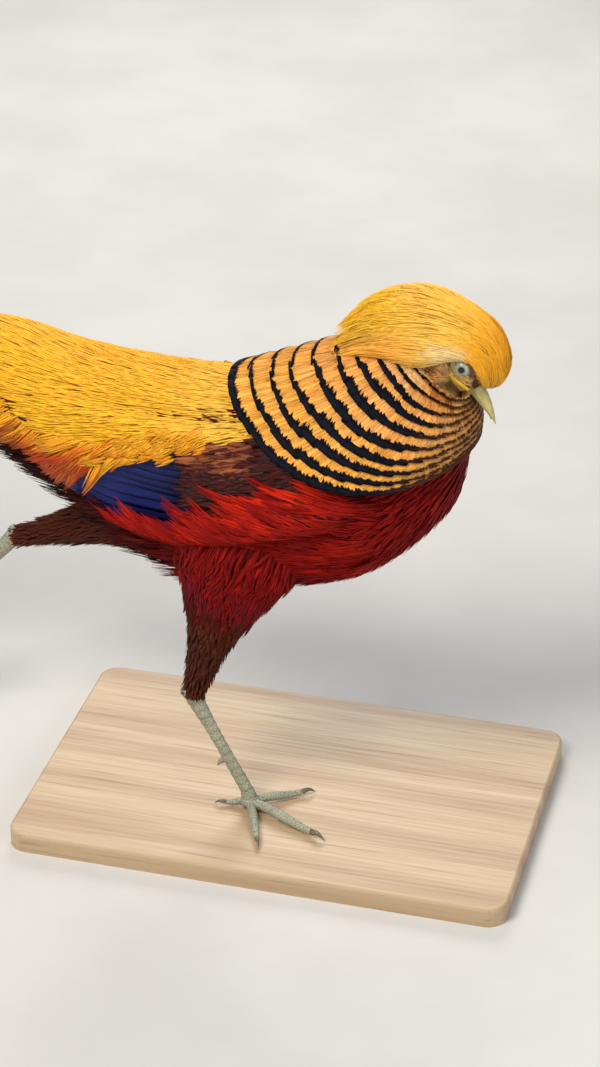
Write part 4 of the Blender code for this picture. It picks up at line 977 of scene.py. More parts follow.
def crest_plumes(looks):
    """Silky strands of the crest in locks, swept back from the forehead over the nape."""
    draw = np.random.default_rng(25)
    for layer, (locks, strands, wide, lift) in enumerate(CREST_LAYERS, 1):
        lock_t = draw.uniform(0.0, 6.0, locks)
        # The rim hangs lowest behind the eye and on the temple.
        widest = np.interp(lock_t, (0.0, 1.2, 2.2, 4.5, 6.0), (92, 92, 116, 112, 96))
        lock_turn = np.radians(draw.uniform(-1, 1, locks) * widest)
        which = np.repeat(np.arange(locks), strands)
        count = len(which)
        root_t = np.clip(lock_t[which] + draw.uniform(-0.45, 0.35, count), 0.0, 6.3)
        spread_turn = draw.normal(0, 0.12, count)
        root_turn = lock_turn[which] + spread_turn
        size = np.interp(root_t, (0, 2, 5, 7), (1.6, 1.8, 1.6, 1.3))
        tip_t = root_t + size * draw.uniform(0.75, 1.15, count)
        tip_turn = lock_turn[which] + spread_turn * 0.5 + draw.normal(0, 0.016, count)
        over = np.maximum(tip_t - 7.0, 0.0)
        root = np.column_stack([root_t, root_turn])
        tip = np.column_stack([np.minimum(tip_t, 7.0), tip_turn])
        row = curve(CREST, root_t)
        reach = np.hypot(row[:, 0] - row[:, 2], row[:, 1] - row[:, 3])
        inner = draw.uniform(0, 1, count) ** 2
        low = -reach * 0.5 * np.clip(np.cos(root_turn), 0.12, 1)
        rim = smooth(1.4, 1.75, np.abs(root_turn))
        high = lift - 0.0007 * inner + draw.uniform(-0.0002, 0.0003, count)
        high += 0.0016 * rim * smooth(3.0, 4.5, tip_t)
        # The crown is fullest behind.
        over_crown = np.clip(np.cos(root_turn), 0, 1)
        high += 0.0032 * smooth(3.4, 5.0, tip_t) * smooth(7.4, 6.2, tip_t) * over_crown
        paths, out = lay(crest, -1, HEAD_STEP, root, tip, low, high, 5, None, 0.42)
        share = np.linspace(0, 1, 5)[None, :] ** 2
        paths[..., 0] -= over[:, None] * share * 0.010
        paths[..., 2] -= over[:, None] * share * 0.009
        spot = draw.uniform(0, 1, locks)[which] * 0.6 + draw.uniform(0, 1, count) * 0.4
        colour = crest_colour(root_t, np.abs(root_turn), spot)
        colour = shaded(colour, draw, 0.07)
        remember(paths[:, 0], mix(colour, DEEP_GOLD, 0.3) * 1.8)
        coat_piece(f"crest_plumes_{layer}", (paths, out), wide * draw.uniform(0.8, 1.3, count),
                   (mix(colour, DEEP_GOLD, 0.2), colour * 1.04), uv_of(*root.T, (0, 7), (-2.4, 2.4)), draw,
                   0.07, looks, "crest_feathers", 0.00022, STRAND_PROFILE)


def crest_colour(t, turn, spot):
    """Deep gold in front, pale gold on top, bright yellow behind, cream on the temple, orange at the
    rim."""
    colour = mix(GOLD, PALE_GOLD, smooth(1.4, 2.8, t) * (0.55 + 0.45 * spot))
    colour = mix(colour, BRIGHT_GOLD, smooth(3.6, 4.6, t) * smooth(1.4, 0.9, turn) * 0.8)
    colour = mix(colour, DEEP_GOLD, smooth(1.8, 0.6, t) * (0.25 + 0.35 * spot))
    colour = mix(colour, CREAM, smooth(1.2, 1.6, turn) * smooth(1.0, 1.6, t) * smooth(3.6, 2.8, t) * 0.85)
    return mix(colour, ORANGE, smooth(1.0, 1.5, turn) * smooth(3.4, 4.4, t) * (0.5 + 0.4 * spot))


def cape_feathers(looks, bar_looks):
    """Rows of broad square-ended feathers round the neck, each with a blue-black bar at its end."""
    draw = np.random.default_rng(26)
    vanes, bars, barbs = [], [], []
    for row in range(CAPE_BANDS + 1):
        band = 3.0 * ((row + 0.6) / (CAPE_BANDS + 0.6)) ** 1.06
        probe = cape(np.full(65, band), np.linspace(0, 2 * math.pi, 65))
        length = np.linalg.norm(np.diff(probe, axis=0), axis=1).sum()
        half_width = 0.0044 + 0.0034 * smooth(0.2, 2.2, band)
        count = int(length / (half_width * 1.1))
        turn = 2 * math.pi * (np.arange(count) + 0.5 * (row % 2) + draw.uniform(-0.15, 0.15, count)) / count
        turn = np.where(turn > math.pi, turn - 2 * math.pi, turn)
        # Neighbours end nearly level, so that their bars run together.
        wave = 0.020 * np.sin(turn * 5 + row * 1.7) + 0.012 * np.sin(turn * 13 + row)
        end = np.minimum(band + wave + draw.uniform(-0.010, 0.010, count), 3.0)
        start = np.maximum(end - 0.95 + 0.25 * smooth(0.8, 0.0, end), -0.02)
        root, tip = np.column_stack([start, turn]), np.column_stack([end, turn])
        # Each row lies over the next one, and the lowest lies over the body and the wings.
        level = (CAPE_BANDS - row) / CAPE_BANDS
        high = 0.0006 + 0.0012 * level + draw.uniform(-0.00012, 0.00012, count)
        paths, out = lay(cape, -1, HEAD_STEP, root, tip, -0.0046, high, 7, None, 0.5)
        share = np.linspace(0, 1, 7)[None, :]
        rise = share**0.6
        clear = (0.0030 + 0.0035 * level) * rise - 0.003 * (1 - rise)
        body_angle = np.arctan2(paths[..., 1], paths[..., 2] - 0.235)
        clear = clear + wing_cover(paths[..., 0], body_angle) * 0.8 * rise
        paths = over_torso(paths, clear)
        # The ends of the feathers lie along the row.
        place = start[:, None] + (end - start)[:, None] * share
        ring = unit(cape(place, turn[:, None] + 0.02) - cape(place, turn[:, None] - 0.02))
        square = np.cross(np.gradient(paths, axis=1), out)
        side = unit(ring * np.sign((ring * square).sum(axis=-1, keepdims=True)) + unit(square) * 0.25)
        colour = cape_colour(end, turn, draw)
        remember(paths[:, 0], colour * 1.2)
        uv = uv_of(start, turn, (-0.1, 3.1), ROUND_Q)
        vanes.append(feather_mesh("vanes", paths, out, np.full(count, half_width), BROAD_PROFILE,
                                  blade_section(5), 0.0003, (colour * 0.9, colour * 1.04), uv, draw,
                                  CAPE_CAMBER, None, side))
        bar, dark = cape_bar(end, turn, draw)
        if row == CAPE_BANDS:
            bar = np.maximum(bar, 0.09)
        row_of = (paths, out, side, half_width)
        bars += cape_bars(row_of, bar, dark, uv, draw)
        barbs.append(cape_barbs(row_of, bar, colour, uv, draw))
    for name, meshes, looks_of_piece in (
        ("cape_feathers", vanes, looks),
        ("cape_bars", bars, bar_looks),
        ("cape_barbs", barbs, looks),
    ):
        piece(name, joined_feathers(meshes, name), looks_of_piece)


def cape_bar(end, turn, draw):
    """The bar's share of each feather and its colour: widest on the sides, thin on the nape and brown and
    broken at the throat."""
    angle = np.abs(turn)
    around = smooth(0.30, 1.15, angle) * smooth(2.35, 1.6, angle)
    bar = (0.016 + 0.104 * around) * (0.82 + 0.18 * smooth(0.2, 1.2, end))
    throat = smooth(1.9, 2.4, angle)
    broken = throat * (draw.uniform(0, 1, len(end)) < 0.45)
    bar = bar * draw.uniform(0.82, 1.18, len(end)) * (1 - 0.85 * broken) + 0.012 * throat * (1 - broken)
    return bar, mix(BLUE_BLACK, RUFOUS_BROWN, throat * 0.8)


def cape_colour(end, turn, draw):
    """Orange on the sides, peach below and in front, rusty and buff at the cheek and throat."""
    count = len(end)
    spot = draw.uniform(0, 1, count)
    angle = np.abs(turn)
    colour = mix(ORANGE, PEACH, 0.25 + 0.5 * spot)
    colour = mix(colour, GOLD, smooth(1.5, 2.5, end) * 0.35)
    colour = mix(colour, CREAM, smooth(1.1, 0.4, end) * smooth(1.75, 1.35, angle) * 0.6)
    colour = mix(colour, mix(PEACH, BUFF, spot), smooth(1.9, 2.4, angle) * 0.7)
    ear = smooth(1.6, 1.9, angle) * smooth(1.2, 0.6, end)
    colour = mix(colour, mix(RUST, ORANGE, spot), ear * 0.75)
    colour = mix(colour, RUFOUS_BROWN, ear * (draw.uniform(0, 1, count) > 0.66) * 0.8)
    colour = mix(colour, PALE_STRAW, smooth(2.2, 2.7, angle) * smooth(0.9, 0.4, end) * 0.75)
    return shaded(colour, draw, 0.08)


def cape_bars(row_of, bar, dark, uv, draw):
    """The dark ends of one row: a plate across each feather, and wedges that run up from it."""
    paths, out, side, half_width = row_of
    count = len(paths)
    share = 1 - bar[:, None] + (bar[:, None] + 0.012) * np.linspace(0, 1, 4)[None, :]
    up = unit(sampled(out, share))
    lifted = sampled(paths, share) + up * 0.00040
    plates = feather_mesh("plates", lifted, up, np.full(count, half_width * 1.04), PLATE_PROFILE,
                          blade_section(5), 0.00018, (dark, dark), uv, draw, CAPE_CAMBER, None,
                          sampled(side, share))
    which = np.repeat(np.arange(count), CAPE_WEDGES)
    total = len(which)
    reach = draw.uniform(0.10, 0.85, total) * bar[which] + 0.006
    share = 1 - bar[which][:, None] * 0.8 - reach[:, None] * np.linspace(0, 1, 3)[None, :]
    across = draw.uniform(-0.95, 0.95, total)[:, None] + 0.20 * np.linspace(0, 1, 3)[None, :]
    made, up = on_vanes(row_of, which, share, across, 0.00048)
    thorns = feather_mesh("wedges", made, up, draw.uniform(0.0006, 0.0011, total), TAPER_PROFILE, HAIR,
                          0.00012, (dark[which], dark[which]), uv[which], draw)
    return [plates, thorns]


def on_vanes(row_of, which, share, across, height):
    """Points on the vanes of a row: shares of the way along and across them, and a height over them."""
    paths, out, side, half_width = row_of
    up = unit(sampled(out[which], share))
    profile = np.interp(share, np.linspace(0, 1, 7), BROAD_PROFILE)
    reach = across * profile * half_width
    rise = height - CAPE_CAMBER * half_width * across**2 * profile
    points = sampled(paths[which], share) + sampled(side[which], share) * reach[..., None]
    return points + up * rise[..., None], up


def cape_barbs(row_of, bar, colour, uv, draw):
    """Fine barbs along one row's feathers, which end near the bars."""
    which = np.repeat(np.arange(len(bar)), CAPE_BARBS)
    total = len(which)
    high = 1 - bar[which] + draw.uniform(-0.06, 0.008, total)
    low = high - draw.uniform(0.20, 0.34, total)
    share = low[:, None] + (high - low)[:, None] * np.linspace(0, 1, 4)[None, :]
    across = draw.uniform(-0.98, 0.98, total)[:, None] * np.ones(4)[None, :]
    made, up = on_vanes(row_of, which, share, across, 0.00034)
    tone = colour[which] * (1 + draw.uniform(-0.08, 0.12, (total, 1)))
    return feather_mesh("barbs", made, up, np.full(total, 0.00028), HAIR_PROFILE, HAIR, 0.00010,
                        (tone * 0.96, tone), uv[which], draw)


def joined_feathers(meshes, name):
    """One mesh from several, with the numbers at their points and their unwraps kept."""
    objects = []
    for mesh in meshes:
        obj = bpy.data.objects.new(mesh.name, mesh)
        bpy.context.scene.collection.objects.link(obj)
        objects.append(obj)
    with bpy.context.temp_override(active_object=objects[0], selected_editable_objects=objects):
        bpy.ops.object.join()
    whole = objects[0].data
    bpy.data.objects.remove(objects[0])
    whole.name = name
    return whole


# Tiers of wing feathers, lowest first: number, place across the first and the last, place along of the
# roots, of the first tip and of the last tip, half width, height of the tips, colour at the root and tip.
WING_TIERS = (
    (7, 0.74, 1.02, 0.42, 1.02, 0.88, 0.0056, 0.0016, CHESTNUT, CINNAMON),
    (9, 0.36, 0.80, 0.42, 0.99, 0.97, 0.0068, 0.0024, DARK_BROWN, CHESTNUT),
    (9, 0.06, 0.86, 0.36, 0.80, 0.99, 0.0092, 0.0034, DARK_BLUE, ROYAL_BLUE),
    (10, 0.08, 0.98, 0.22, 0.50, 0.56, 0.0058, 0.0044, BLACK, DARK_BROWN),
    (11, 0.08, 0.98, 0.14, 0.40, 0.42, 0.0048, 0.0050, DARK_BROWN, MAROON),
    (12, 0.04, 0.96, 0.02, 0.28, 0.26, 0.0042, 0.0056, DARK_BROWN, MAROON),
)


def wing_feathers(looks):
    """The folded wings, in tiers from the long feathers underneath to the shoulder feathers on top."""
    draw = np.random.default_rng(27)
    for side in SIDES:
        meshes = []
        surface = wing(side)
        for tier in WING_TIERS:
            count, v_first, v_last, u_root, u_first, u_last, half_width, height, dark, light = tier
            share = np.linspace(0, 1, count)
            v = v_first + (v_last - v_first) * share
            tip_u = u_first + (u_last - u_first) * share + draw.uniform(-0.012, 0.012, count)
            root = np.column_stack([np.full(count, u_root), v + 0.02])
            tip = np.column_stack([tip_u, v + draw.uniform(-0.01, 0.01, count)])
            # The upper feathers of a tier lie over the lower ones.
            high = height + 0.0010 * (1 - share)
            paths, out = lay(surface, -side, 0.01, root, tip, -0.0020, high, 9, None, 0.6)
            colour = shaded(np.tile(light, (count, 1)), draw, 0.15)
            base = shaded(np.tile(dark, (count, 1)), draw, 0.15)
            uv = uv_of(root[:, 0], v, (-0.1, 1.1), (-0.1, 1.2))
            meshes.append(feather_mesh("tier", paths, out, np.full(count, half_width), FLIGHT_PROFILE,
                                       blade_section(7), 0.0003, (base, colour), uv, draw, 0.12,
                                       np.full(count, 0.10 * side)))
        name = f"wing_feathers_{SIDE_NAMES[side]}"
        piece(name, joined_feathers(meshes, name), looks, (f"wing_{SIDE_NAMES[side]}",))


def shoulder_feathers(looks):
    """Small dark feathers over the shoulder between the cape and the blue, rusty just under the gold."""
    draw = np.random.default_rng(28)
    for side in SIDES:
        count = SHOULDER_COUNT
        x = draw.uniform(-0.036, 0.045, count)
        angle = golden_edge(x) - 0.05 + (1.66 - golden_edge(x)) * draw.uniform(0, 1, count)
        length = draw.uniform(0.012, 0.020, count)
        down = draw.normal(0.15, 0.12, count)
        root = np.column_stack([x, side * angle])
        tip_angle = angle + length * np.sin(down) / BODY_RADIUS
        tip = np.column_stack([x - length * np.cos(down), side * tip_angle])
        high = 0.0004 + draw.uniform(-0.0003, 0.0006, count)
        laid = lay(torso, 1, BODY_STEP, root, tip, -0.0002, high, 5, None, 0.75, wing_cover)
        spot = draw.uniform(0, 1, count)
        colour = mix(MAROON, DARK_BROWN, spot)
        rusty = smooth(1.27, 1.14, angle) * smooth(0.006, -0.004, x) * smooth(0.10, 0.40, spot)
        colour = mix(colour, mix(RUST, MAROON, draw.uniform(0, 0.5, count)), rusty * 0.9)
        coat_piece(f"shoulder_feathers_{SIDE_NAMES[side]}", laid, draw.uniform(0.0014, 0.0026, count),
                   (colour * 0.7, colour * 1.15), body_uv(*root.T), draw, 0.12, looks, "wing_feathers",
                   0.00025, OVAL_PROFILE, blade_section(3), 0.25)


def leg_feathers(looks):
    """Short feathers of the thighs, red above and dark brown towards the ankle."""
    draw = np.random.default_rng(29)
    for side in SIDES:
        surface = thigh(side)
        places = np.arange(0.02, 0.97, 0.020)
        root = staggered(surface, places, lambda p: 0.0, lambda p: 2 * math.pi, 0.0026, draw)
        share, turn = root.T
        count = len(root)
        length = 0.015 - 0.006 * smooth(0.5, 1.0, share) + draw.uniform(-0.002, 0.002, count)
        tip_share = np.minimum(share + length / LEG_LENGTH, 1.0)
        tip = np.column_stack([tip_share, turn + draw.normal(0, 0.10, count)])
        high = 0.0006 + draw.uniform(-0.0006, 0.0012, count)
        laid = lay(surface, -1, THIGH_STEP, root, tip, -COAT, high, 4, draw.normal(0, 0.05, count))
        spot = draw.uniform(0, 1, count)
        red = mix(CRIMSON, SCARLET, 0.05 + 0.30 * spot)
        colour = mix(red, mix(LEG_BROWN, MAROON, spot * 0.4), smooth(0.28, 0.52, share))
        if side > 0:
            colour = mix(colour, mix(LEG_BROWN, MAROON, spot * 0.5), 0.8)
        colour = shaded(colour, draw, 0.2)
        remember(laid[0][:, 0], colour)
        width = (0.0013 + 0.0006 * draw.uniform(0, 1, count)) * (1 - 0.4 * smooth(0.5, 1.0, share))
        coat_piece(f"leg_feathers_{SIDE_NAMES[side]}", laid, width, (colour * 0.7, colour * 1.10),
                   uv_of(share, turn, (0, 1), (0, 2 * math.pi)), draw, 0.2, looks, "leg_feathers")
        thigh_plumes(side, looks)


def thigh_plumes(side, looks):
    """Long fine plumes of the flank that run down over the top of the leg."""
    draw = np.random.default_rng(35 + side)
    surface = thigh(side)
    share = draw.uniform(0.04, 0.40, THIGH_LOCKS)
    turn = draw.uniform(0, 2 * math.pi, THIGH_LOCKS)
    roots = np.column_stack([share, turn])
    length = draw.uniform(0.10, 0.20, THIGH_LOCKS)
    tips = np.column_stack([share + length, turn + draw.normal(0, 0.10, THIGH_LOCKS)])
    root, tip, which = pointed_locks(draw, roots, tips, THIGH_STRANDS, (0.014, 0.09), 0.3)
    count = len(root)
    high = (0.0010 + 0.0016 * draw.uniform(0, 1, THIGH_LOCKS))[which] + draw.uniform(-0.0004, 0.0004, count)
    root[:, 0] = np.maximum(root[:, 0], 0.0)
    laid = lay(surface, -1, THIGH_STEP, root, tip, -THIGH_COAT, high, 4)
    spot = draw.uniform(0, 1, count)
    colour = mix(CRIMSON, SCARLET, 0.05 + 0.35 * spot)
    # Painted purple sheen over the top of the leg.
    colour = mix(colour, PAINTED_PURPLE_SHEEN, smooth(0.12, 0.25, root[:, 0]) * 0.5)
    colour = mix(colour, mix(LEG_BROWN, MAROON, spot), smooth(0.20, 0.36, root[:, 0]) * 0.85)
    if side > 0:
        colour = mix(colour, mix(LEG_BROWN, MAROON, spot), 0.6)
    coat_piece(f"thigh_plumes_{SIDE_NAMES[side]}", laid, draw.uniform(0.0004, 0.0008, count),
               (colour * 0.75, colour * 1.08), uv_of(*root.T, (0, 1), (-0.4, 2 * math.pi + 0.4)), draw, 0.2,
               looks, "leg_feathers", 0.0002)


def head_place(points):
    """Points in the head's own frame."""
    return (points - np.array(HEAD_FRAME.translation)) @ np.array(HEAD_FRAME)[:3, :3]


def bare_face(local):
    """Where nothing grows: on the eye, the lids and the wattle."""
    from_eye = np.hypot((local[:, 0] - EYE_AT.x) / 1.15, local[:, 2] - EYE_AT.z)
    wattle_line = np.interp(local[:, 0], WATTLE[:, 0], WATTLE[:, 1])
    on_wattle = (local[:, 0] > WATTLE[0, 0]) & (local[:, 0] < WATTLE[-1, 0])
    on_wattle &= np.abs(local[:, 2] - wattle_line) < 0.0022
    return (np.abs(local[:, 1]) > 0.006) & ((from_eye < 0.0062) | on_wattle)


def face_colour(local, draw):
    """Cream on the temple, peach on the cheek, rusty under it, straw on the chin, and the dark line of the
    lore."""
    spot = draw.uniform(0, 1, len(local))
    x, z = local[:, 0], local[:, 2]
    colour = mix(PEACH, CREAM, spot * 0.6)
    lore_line = np.interp(x, (0.0009, 0.0095, 0.0153), (0.0059, 0.0033, 0.0007))
    lore = smooth(0.0024, 0.0012, np.abs(z - lore_line)) * smooth(-0.003, 0.001, x)
    colour = mix(colour, (0.10, 0.022, 0.012), lore * 0.9)
    behind = smooth(0.0, -0.006, x) * smooth(-0.010, -0.003, z)
    colour = mix(colour, CREAM, behind * 0.7)
    ear = smooth(0.004, -0.003, x) * smooth(-0.009, -0.013, z)
    colour = mix(colour, mix(RUST, PEACH, smooth(0.2, 0.6, spot)), ear * 0.85)
    colour = mix(colour, RUFOUS_BROWN, ear * (draw.uniform(0, 1, len(x)) > 0.75) * 0.7)
    chin = np.maximum(smooth(0.002, 0.007, x) * smooth(-0.004, -0.007, z),
                      smooth(0.009, 0.012, x) * smooth(0.0, -0.003, z))
    colour = mix(colour, PALE_STRAW, chin * 0.9)
    return shaded(colour, draw, 0.12)


def face_feathers(looks):
    """The smallest feathers, round the eye and at the root of the bill."""
    draw = np.random.default_rng(30)
    places = np.linspace(4.95, 0.4, 36)
    root = staggered(face, places, lambda t: 0.0, lambda t: 2 * math.pi, 0.00125, draw)
    t, turn = root.T
    local = head_place(face(t, turn))
    keep = ~bare_face(local)
    root, local = root[keep], local[keep]
    root[:, 1] = np.where(root[:, 1] > math.pi, root[:, 1] - 2 * math.pi, root[:, 1])
    count = len(root)
    length = 0.0036 + 0.0030 * smooth(3.2, 1.0, root[:, 0]) + draw.uniform(-0.0006, 0.0006, count)
    tip = np.column_stack([
        np.maximum(root[:, 0] - length / 0.0085, 0.02),
        root[:, 1] + 0.25 * np.sign(root[:, 1]) * length / 0.014 + draw.normal(0, 0.06, count),
    ])
    high = 0.0002 + draw.uniform(-0.0002, 0.0005, count)
    laid = lay(face, 1, HEAD_STEP, root, tip, -0.0016, high, 4)
    colour = face_colour(local, draw)
    remember(laid[0][:, 0], colour)
    coat_piece("face_feathers", laid, draw.uniform(0.00035, 0.0006, count), (colour * 0.85, colour * 1.08),
               uv_of(*root.T, (0, 5), ROUND_Q), draw, 0.2, looks, "crest_feathers", 0.00018)


def cheek_feathers(skin, looks):
    """Soft small feathers over the cheeks and the upper neck, between the face, the crest and the cape."""
    draw = np.random.default_rng(36)
    count = len(skin.vertices)
    points, outward = np.empty(count * 3), np.empty(count * 3)
    skin.vertices.foreach_get("co", points)
    skin.vertices.foreach_get("normal", outward)
    points, outward = points.reshape(-1, 3), outward.reshape(-1, 3)
    local = head_place(points)
    under_crest = (local[:, 2] > 0.004) & (np.abs(local[:, 1]) < 0.0115)
    under_cape = (local[:, 2] < -0.010) & (local[:, 0] < -0.020)
    near = (local[:, 0] > -0.030) & (local[:, 0] < 0.0185) & ~under_crest & ~under_cape
    near &= np.linalg.norm(local, axis=1) < 0.034
    points, outward = (np.repeat(a[near], CHEEK_STRANDS, axis=0) for a in (points, outward))
    first = unit(np.cross(outward, (0.0, 1.0, 0.02)))
    second = np.cross(outward, first)
    count = len(points)
    for across in (first, second):
        points = points + across * draw.uniform(-SKIN_VOXEL / 2, SKIN_VOXEL / 2, (count, 1))
    keep = ~bare_face(head_place(points))
    points, outward, second = points[keep], outward[keep], second[keep]
    count = len(points)
    local = head_place(points)
    back = -np.array(HEAD_FRAME)[:3, 0] + np.array((0.0, 0.0, -0.35))
    lie = back + second * draw.normal(0, 0.10, (count, 1))
    lie = unit(lie - outward * (lie * outward).sum(axis=1, keepdims=True))
    length = 0.0028 + 0.0046 * smooth(0.014, -0.014, local[:, 0]) + draw.uniform(-0.0006, 0.0006, count)
    share = np.linspace(0, 1, 4)[None, :, None]
    rise = -0.0006 + (0.0012 + draw.uniform(-0.0003, 0.0006, (count, 1, 1))) * share**0.7
    paths = points[:, None] + lie[:, None] * length[:, None, None] * share + outward[:, None] * rise
    out = np.broadcast_to(outward[:, None], paths.shape)
    colour = face_colour(local, draw)
    remember(points, colour)
    uv = uv_of(local[:, 0], np.arctan2(local[:, 1], local[:, 2]), (-0.035, 0.016), ROUND_Q)
    coat_piece("cheek_feathers", (paths, out), draw.uniform(0.0004, 0.0007, count),
               (colour * 0.88, colour * 1.06), uv, draw, 0.2, looks, "crest_feathers", 0.00018)


# Tail.


def tail_line(distance):
    """A point on the tail's spine and the direction there, at a distance from its root."""
    place = TAIL_ROOT.copy()
    pieces = 24
    step = distance / pieces
    for k in range(pieces):
        rise = TAIL_RISE[0] + (TAIL_RISE[1] - TAIL_RISE[0]) * (k + 0.5) * step / TAIL_LENGTH
        place = place + np.array((-math.cos(rise), 0, math.sin(rise))) * step
    rise = TAIL_RISE[0] + (TAIL_RISE[1] - TAIL_RISE[0]) * distance / TAIL_LENGTH
    return place, np.array((-math.cos(rise), 0, math.sin(rise)))


def tail_roof(distance, side):
    """A point on the tail's ridge, the direction down one slope of its roof, and out of that slope."""
    place, along = tail_line(distance)
    up = np.cross((0, 1, 0), along)
    ridge = place + up * TAIL_RIDGE[0] * (1 - smooth(0, TAIL_RIDGE[1], distance))
    slope = np.array((0, side * math.cos(TAIL_SLOPE), 0)) - up * math.sin(TAIL_SLOPE)
    normal = up * math.cos(TAIL_SLOPE) + np.array((0, side * math.sin(TAIL_SLOPE), 0))
    return ridge, slope, normal


def roof_paths(side, distances, downs, heights):
    """Paths on one slope of the tail, from arrays of feather × station."""
    frames = [tail_roof(d, side) for d in np.linspace(0, TAIL_LENGTH * 1.01, 140)]
    table = np.array([np.concatenate(f) for f in frames])
    at = np.linspace(0, TAIL_LENGTH * 1.01, 140)
    values = np.stack([np.interp(distances, at, table[:, k]) for k in range(9)], axis=-1)
    ridge, slope, normal = values[..., :3], values[..., 3:6], values[..., 6:]
    return ridge + slope * downs[..., None] + normal * heights[..., None], unit(normal)


def tail_feathers(looks):
    """The long tail feathers, each pair under the one before it."""
    draw = np.random.default_rng(31)
    stations = 44
    meshes = []
    share = np.linspace(0, 1, stations)
    for pair, (length, half_width) in enumerate(TAIL_PAIRS):
        for side in SIDES:
            distance = 0.012 + (length - 0.012) * share
            profile = np.sin(math.pi * np.minimum(0.10 + 1.1 * share, 0.5)) * (1 - share**3 * 0.85)
            spread = np.minimum(1.0, distance / 0.09)
            width = half_width * profile
            down = width + 0.0005 + TAIL_STEP_OUT * pair * spread + math.tan(TAIL_SPLAY * pair) * distance
            height = np.full(stations, -TAIL_LAYER * pair - 0.0002)
            paths, out = roof_paths(side, distance[None], down[None], height[None])
            colour = np.array([CINNAMON if pair else CHESTNUT])
            uv = np.array([[0.05 + 0.1 * pair, 0.25 if side < 0 else 0.75]])
            mesh = feather_mesh("tail", paths, out, np.array([half_width]), profile, blade_section(9),
                                0.00045, (colour, colour), uv, draw, 0.05)
            add_attribute(mesh, "middle_pair", "FLOAT", np.full(len(mesh.vertices), float(pair == 0)))
            widen_uv(mesh, uv[0], half_width, length)
            meshes.append(mesh)
    piece("tail_feathers", joined_feathers(meshes, "tail_feathers"), looks, ("tail",))


def widen_uv(mesh, middle, half_width, length):
    """Gives a long feather a strip of its own on the unwrap, wide enough for its markings."""
    span = np.empty(len(mesh.vertices) * 3, np.float32)
    mesh.attributes["span"].data.foreach_get("vector", span)
    span = span.reshape(-1, 3)
    loops = np.empty(len(mesh.loops), np.int32)
    mesh.loops.foreach_get("vertex_index", loops)
    u = middle[0] + 0.042 * span[:, 0] / half_width
    v = middle[1] + 0.44 * (span[:, 1] / length - 0.5)
    uv = np.column_stack([u, v])[loops].astype(np.float32)
    mesh.uv_layers["OFBake"].data.foreach_set("uv", uv.ravel())


def tail_coverts(looks):
    """Narrow orange and red plumes over the root of the tail, and golden ones over its ridge."""
    draw = np.random.default_rng(32)
    for side in SIDES:
        count = COVERT_COUNT
        share = np.linspace(0, 1, len(COVERT_PROFILE))[None]
        start = draw.uniform(-0.004, 0.030, count)[:, None]
        length = draw.uniform(0.07, 0.165, count)[:, None]
        lane = draw.uniform(0.0, 1.0, count)[:, None]
        distance = np.maximum(start + length * share, 0.0)
        down = 0.0005 + lane * 0.036 * (0.55 + 0.45 * share) + draw.normal(0, 0.0008, (count, 1)) * share
        level = draw.uniform(0, 1, count)[:, None]
        height = 0.0016 + 0.0024 * level + 0.0022 * (1 - share) - 0.0010 * share
        laid = roof_paths(side, distance, down, height)
        lane, spot = lane[:, 0], draw.uniform(0, 1, count)
        colour = mix(SCARLET, FLAME, spot)
        colour = mix(colour, DEEP_GOLD, smooth(0.45, 0.15, lane) * smooth(0.16, 0.08, length[:, 0]) * 0.8)
        colour = mix(colour, CRIMSON, smooth(0.6, 1.0, lane) * 0.6)
        base = mix(colour, DARK_BROWN, 0.5)
        coat_piece(f"tail_coverts_{SIDE_NAMES[side]}", laid, draw.uniform(0.0010, 0.0024, count),
                   (base, colour * 1.1), uv_of(start[:, 0], lane, (-0.02, 0.05), (-0.05, 1.05)), draw, 0.1,
                   looks, "tail_feathers", 0.0003, COVERT_PROFILE, blade_section(3), 0.2)


# Bare parts.


def in_head(mesh):
    """The mesh, moved from the head's frame to the model's."""
    mesh.transform(HEAD_FRAME)
    return mesh


def make_eye(side, looks):
    """The eyeball, with a slight bulge over the iris."""
    made = bmesh.new()
    bmesh.ops.create_uvsphere(made, u_segments=48, v_segments=32, radius=EYE_RADIUS)
    bmesh.ops.rotate(made, verts=made.verts, matrix=Matrix.Rotation(math.radians(90), 3, "X"))
    for v in made.verts:
        middle = max(0.0, v.co.y * side / EYE_RADIUS)
        v.co *= 1 + 0.035 * smooth(0.80, 0.98, middle)
    mesh = finished(made, "eye")
    # How far round from the pupil each point is, for the iris and the pupil.
    turn = np.degrees(np.arccos([unit(np.array(v.co))[1] * side for v in mesh.vertices]))
    add_attribute(mesh, "round", "FLOAT", turn)
    mesh.transform(Matrix.Translation((EYE_AT.x, side * EYE_AT.y, EYE_AT.z)))
    node = f"eye_{SIDE_NAMES[side]}"
    piece(node + "_ball", in_head(mesh), looks, (node,))


def face_out(x, z):
    """How far out to the side the face is, along and up in the head's frame."""
    place = np.interp(x, HEAD[:, 0], np.arange(len(HEAD)))
    _, middle, half_width, rise, drop = curve(HEAD, place)
    height = rise if z > middle else drop
    return half_width * math.sqrt(max(1 - ((z - middle) / height) ** 2, 0.0))


# The lids' section, from the eye outwards and back underneath: reach as a share of the opening, how much it
# follows the ball and not the face, and height over that.
LID_SECTION = (
    (0.96, 1.0, 0.00005),
    (1.00, 1.0, 0.00055),
    (1.10, 0.8, 0.00080),
    (1.26, 0.35, 0.00060),
    (1.46, 0.0, 0.00045),
    (1.72, 0.0, -0.00020),
    (1.66, 0.0, -0.00160),
    (1.20, 0.6, -0.00160),
    (0.98, 1.0, -0.00090),
)


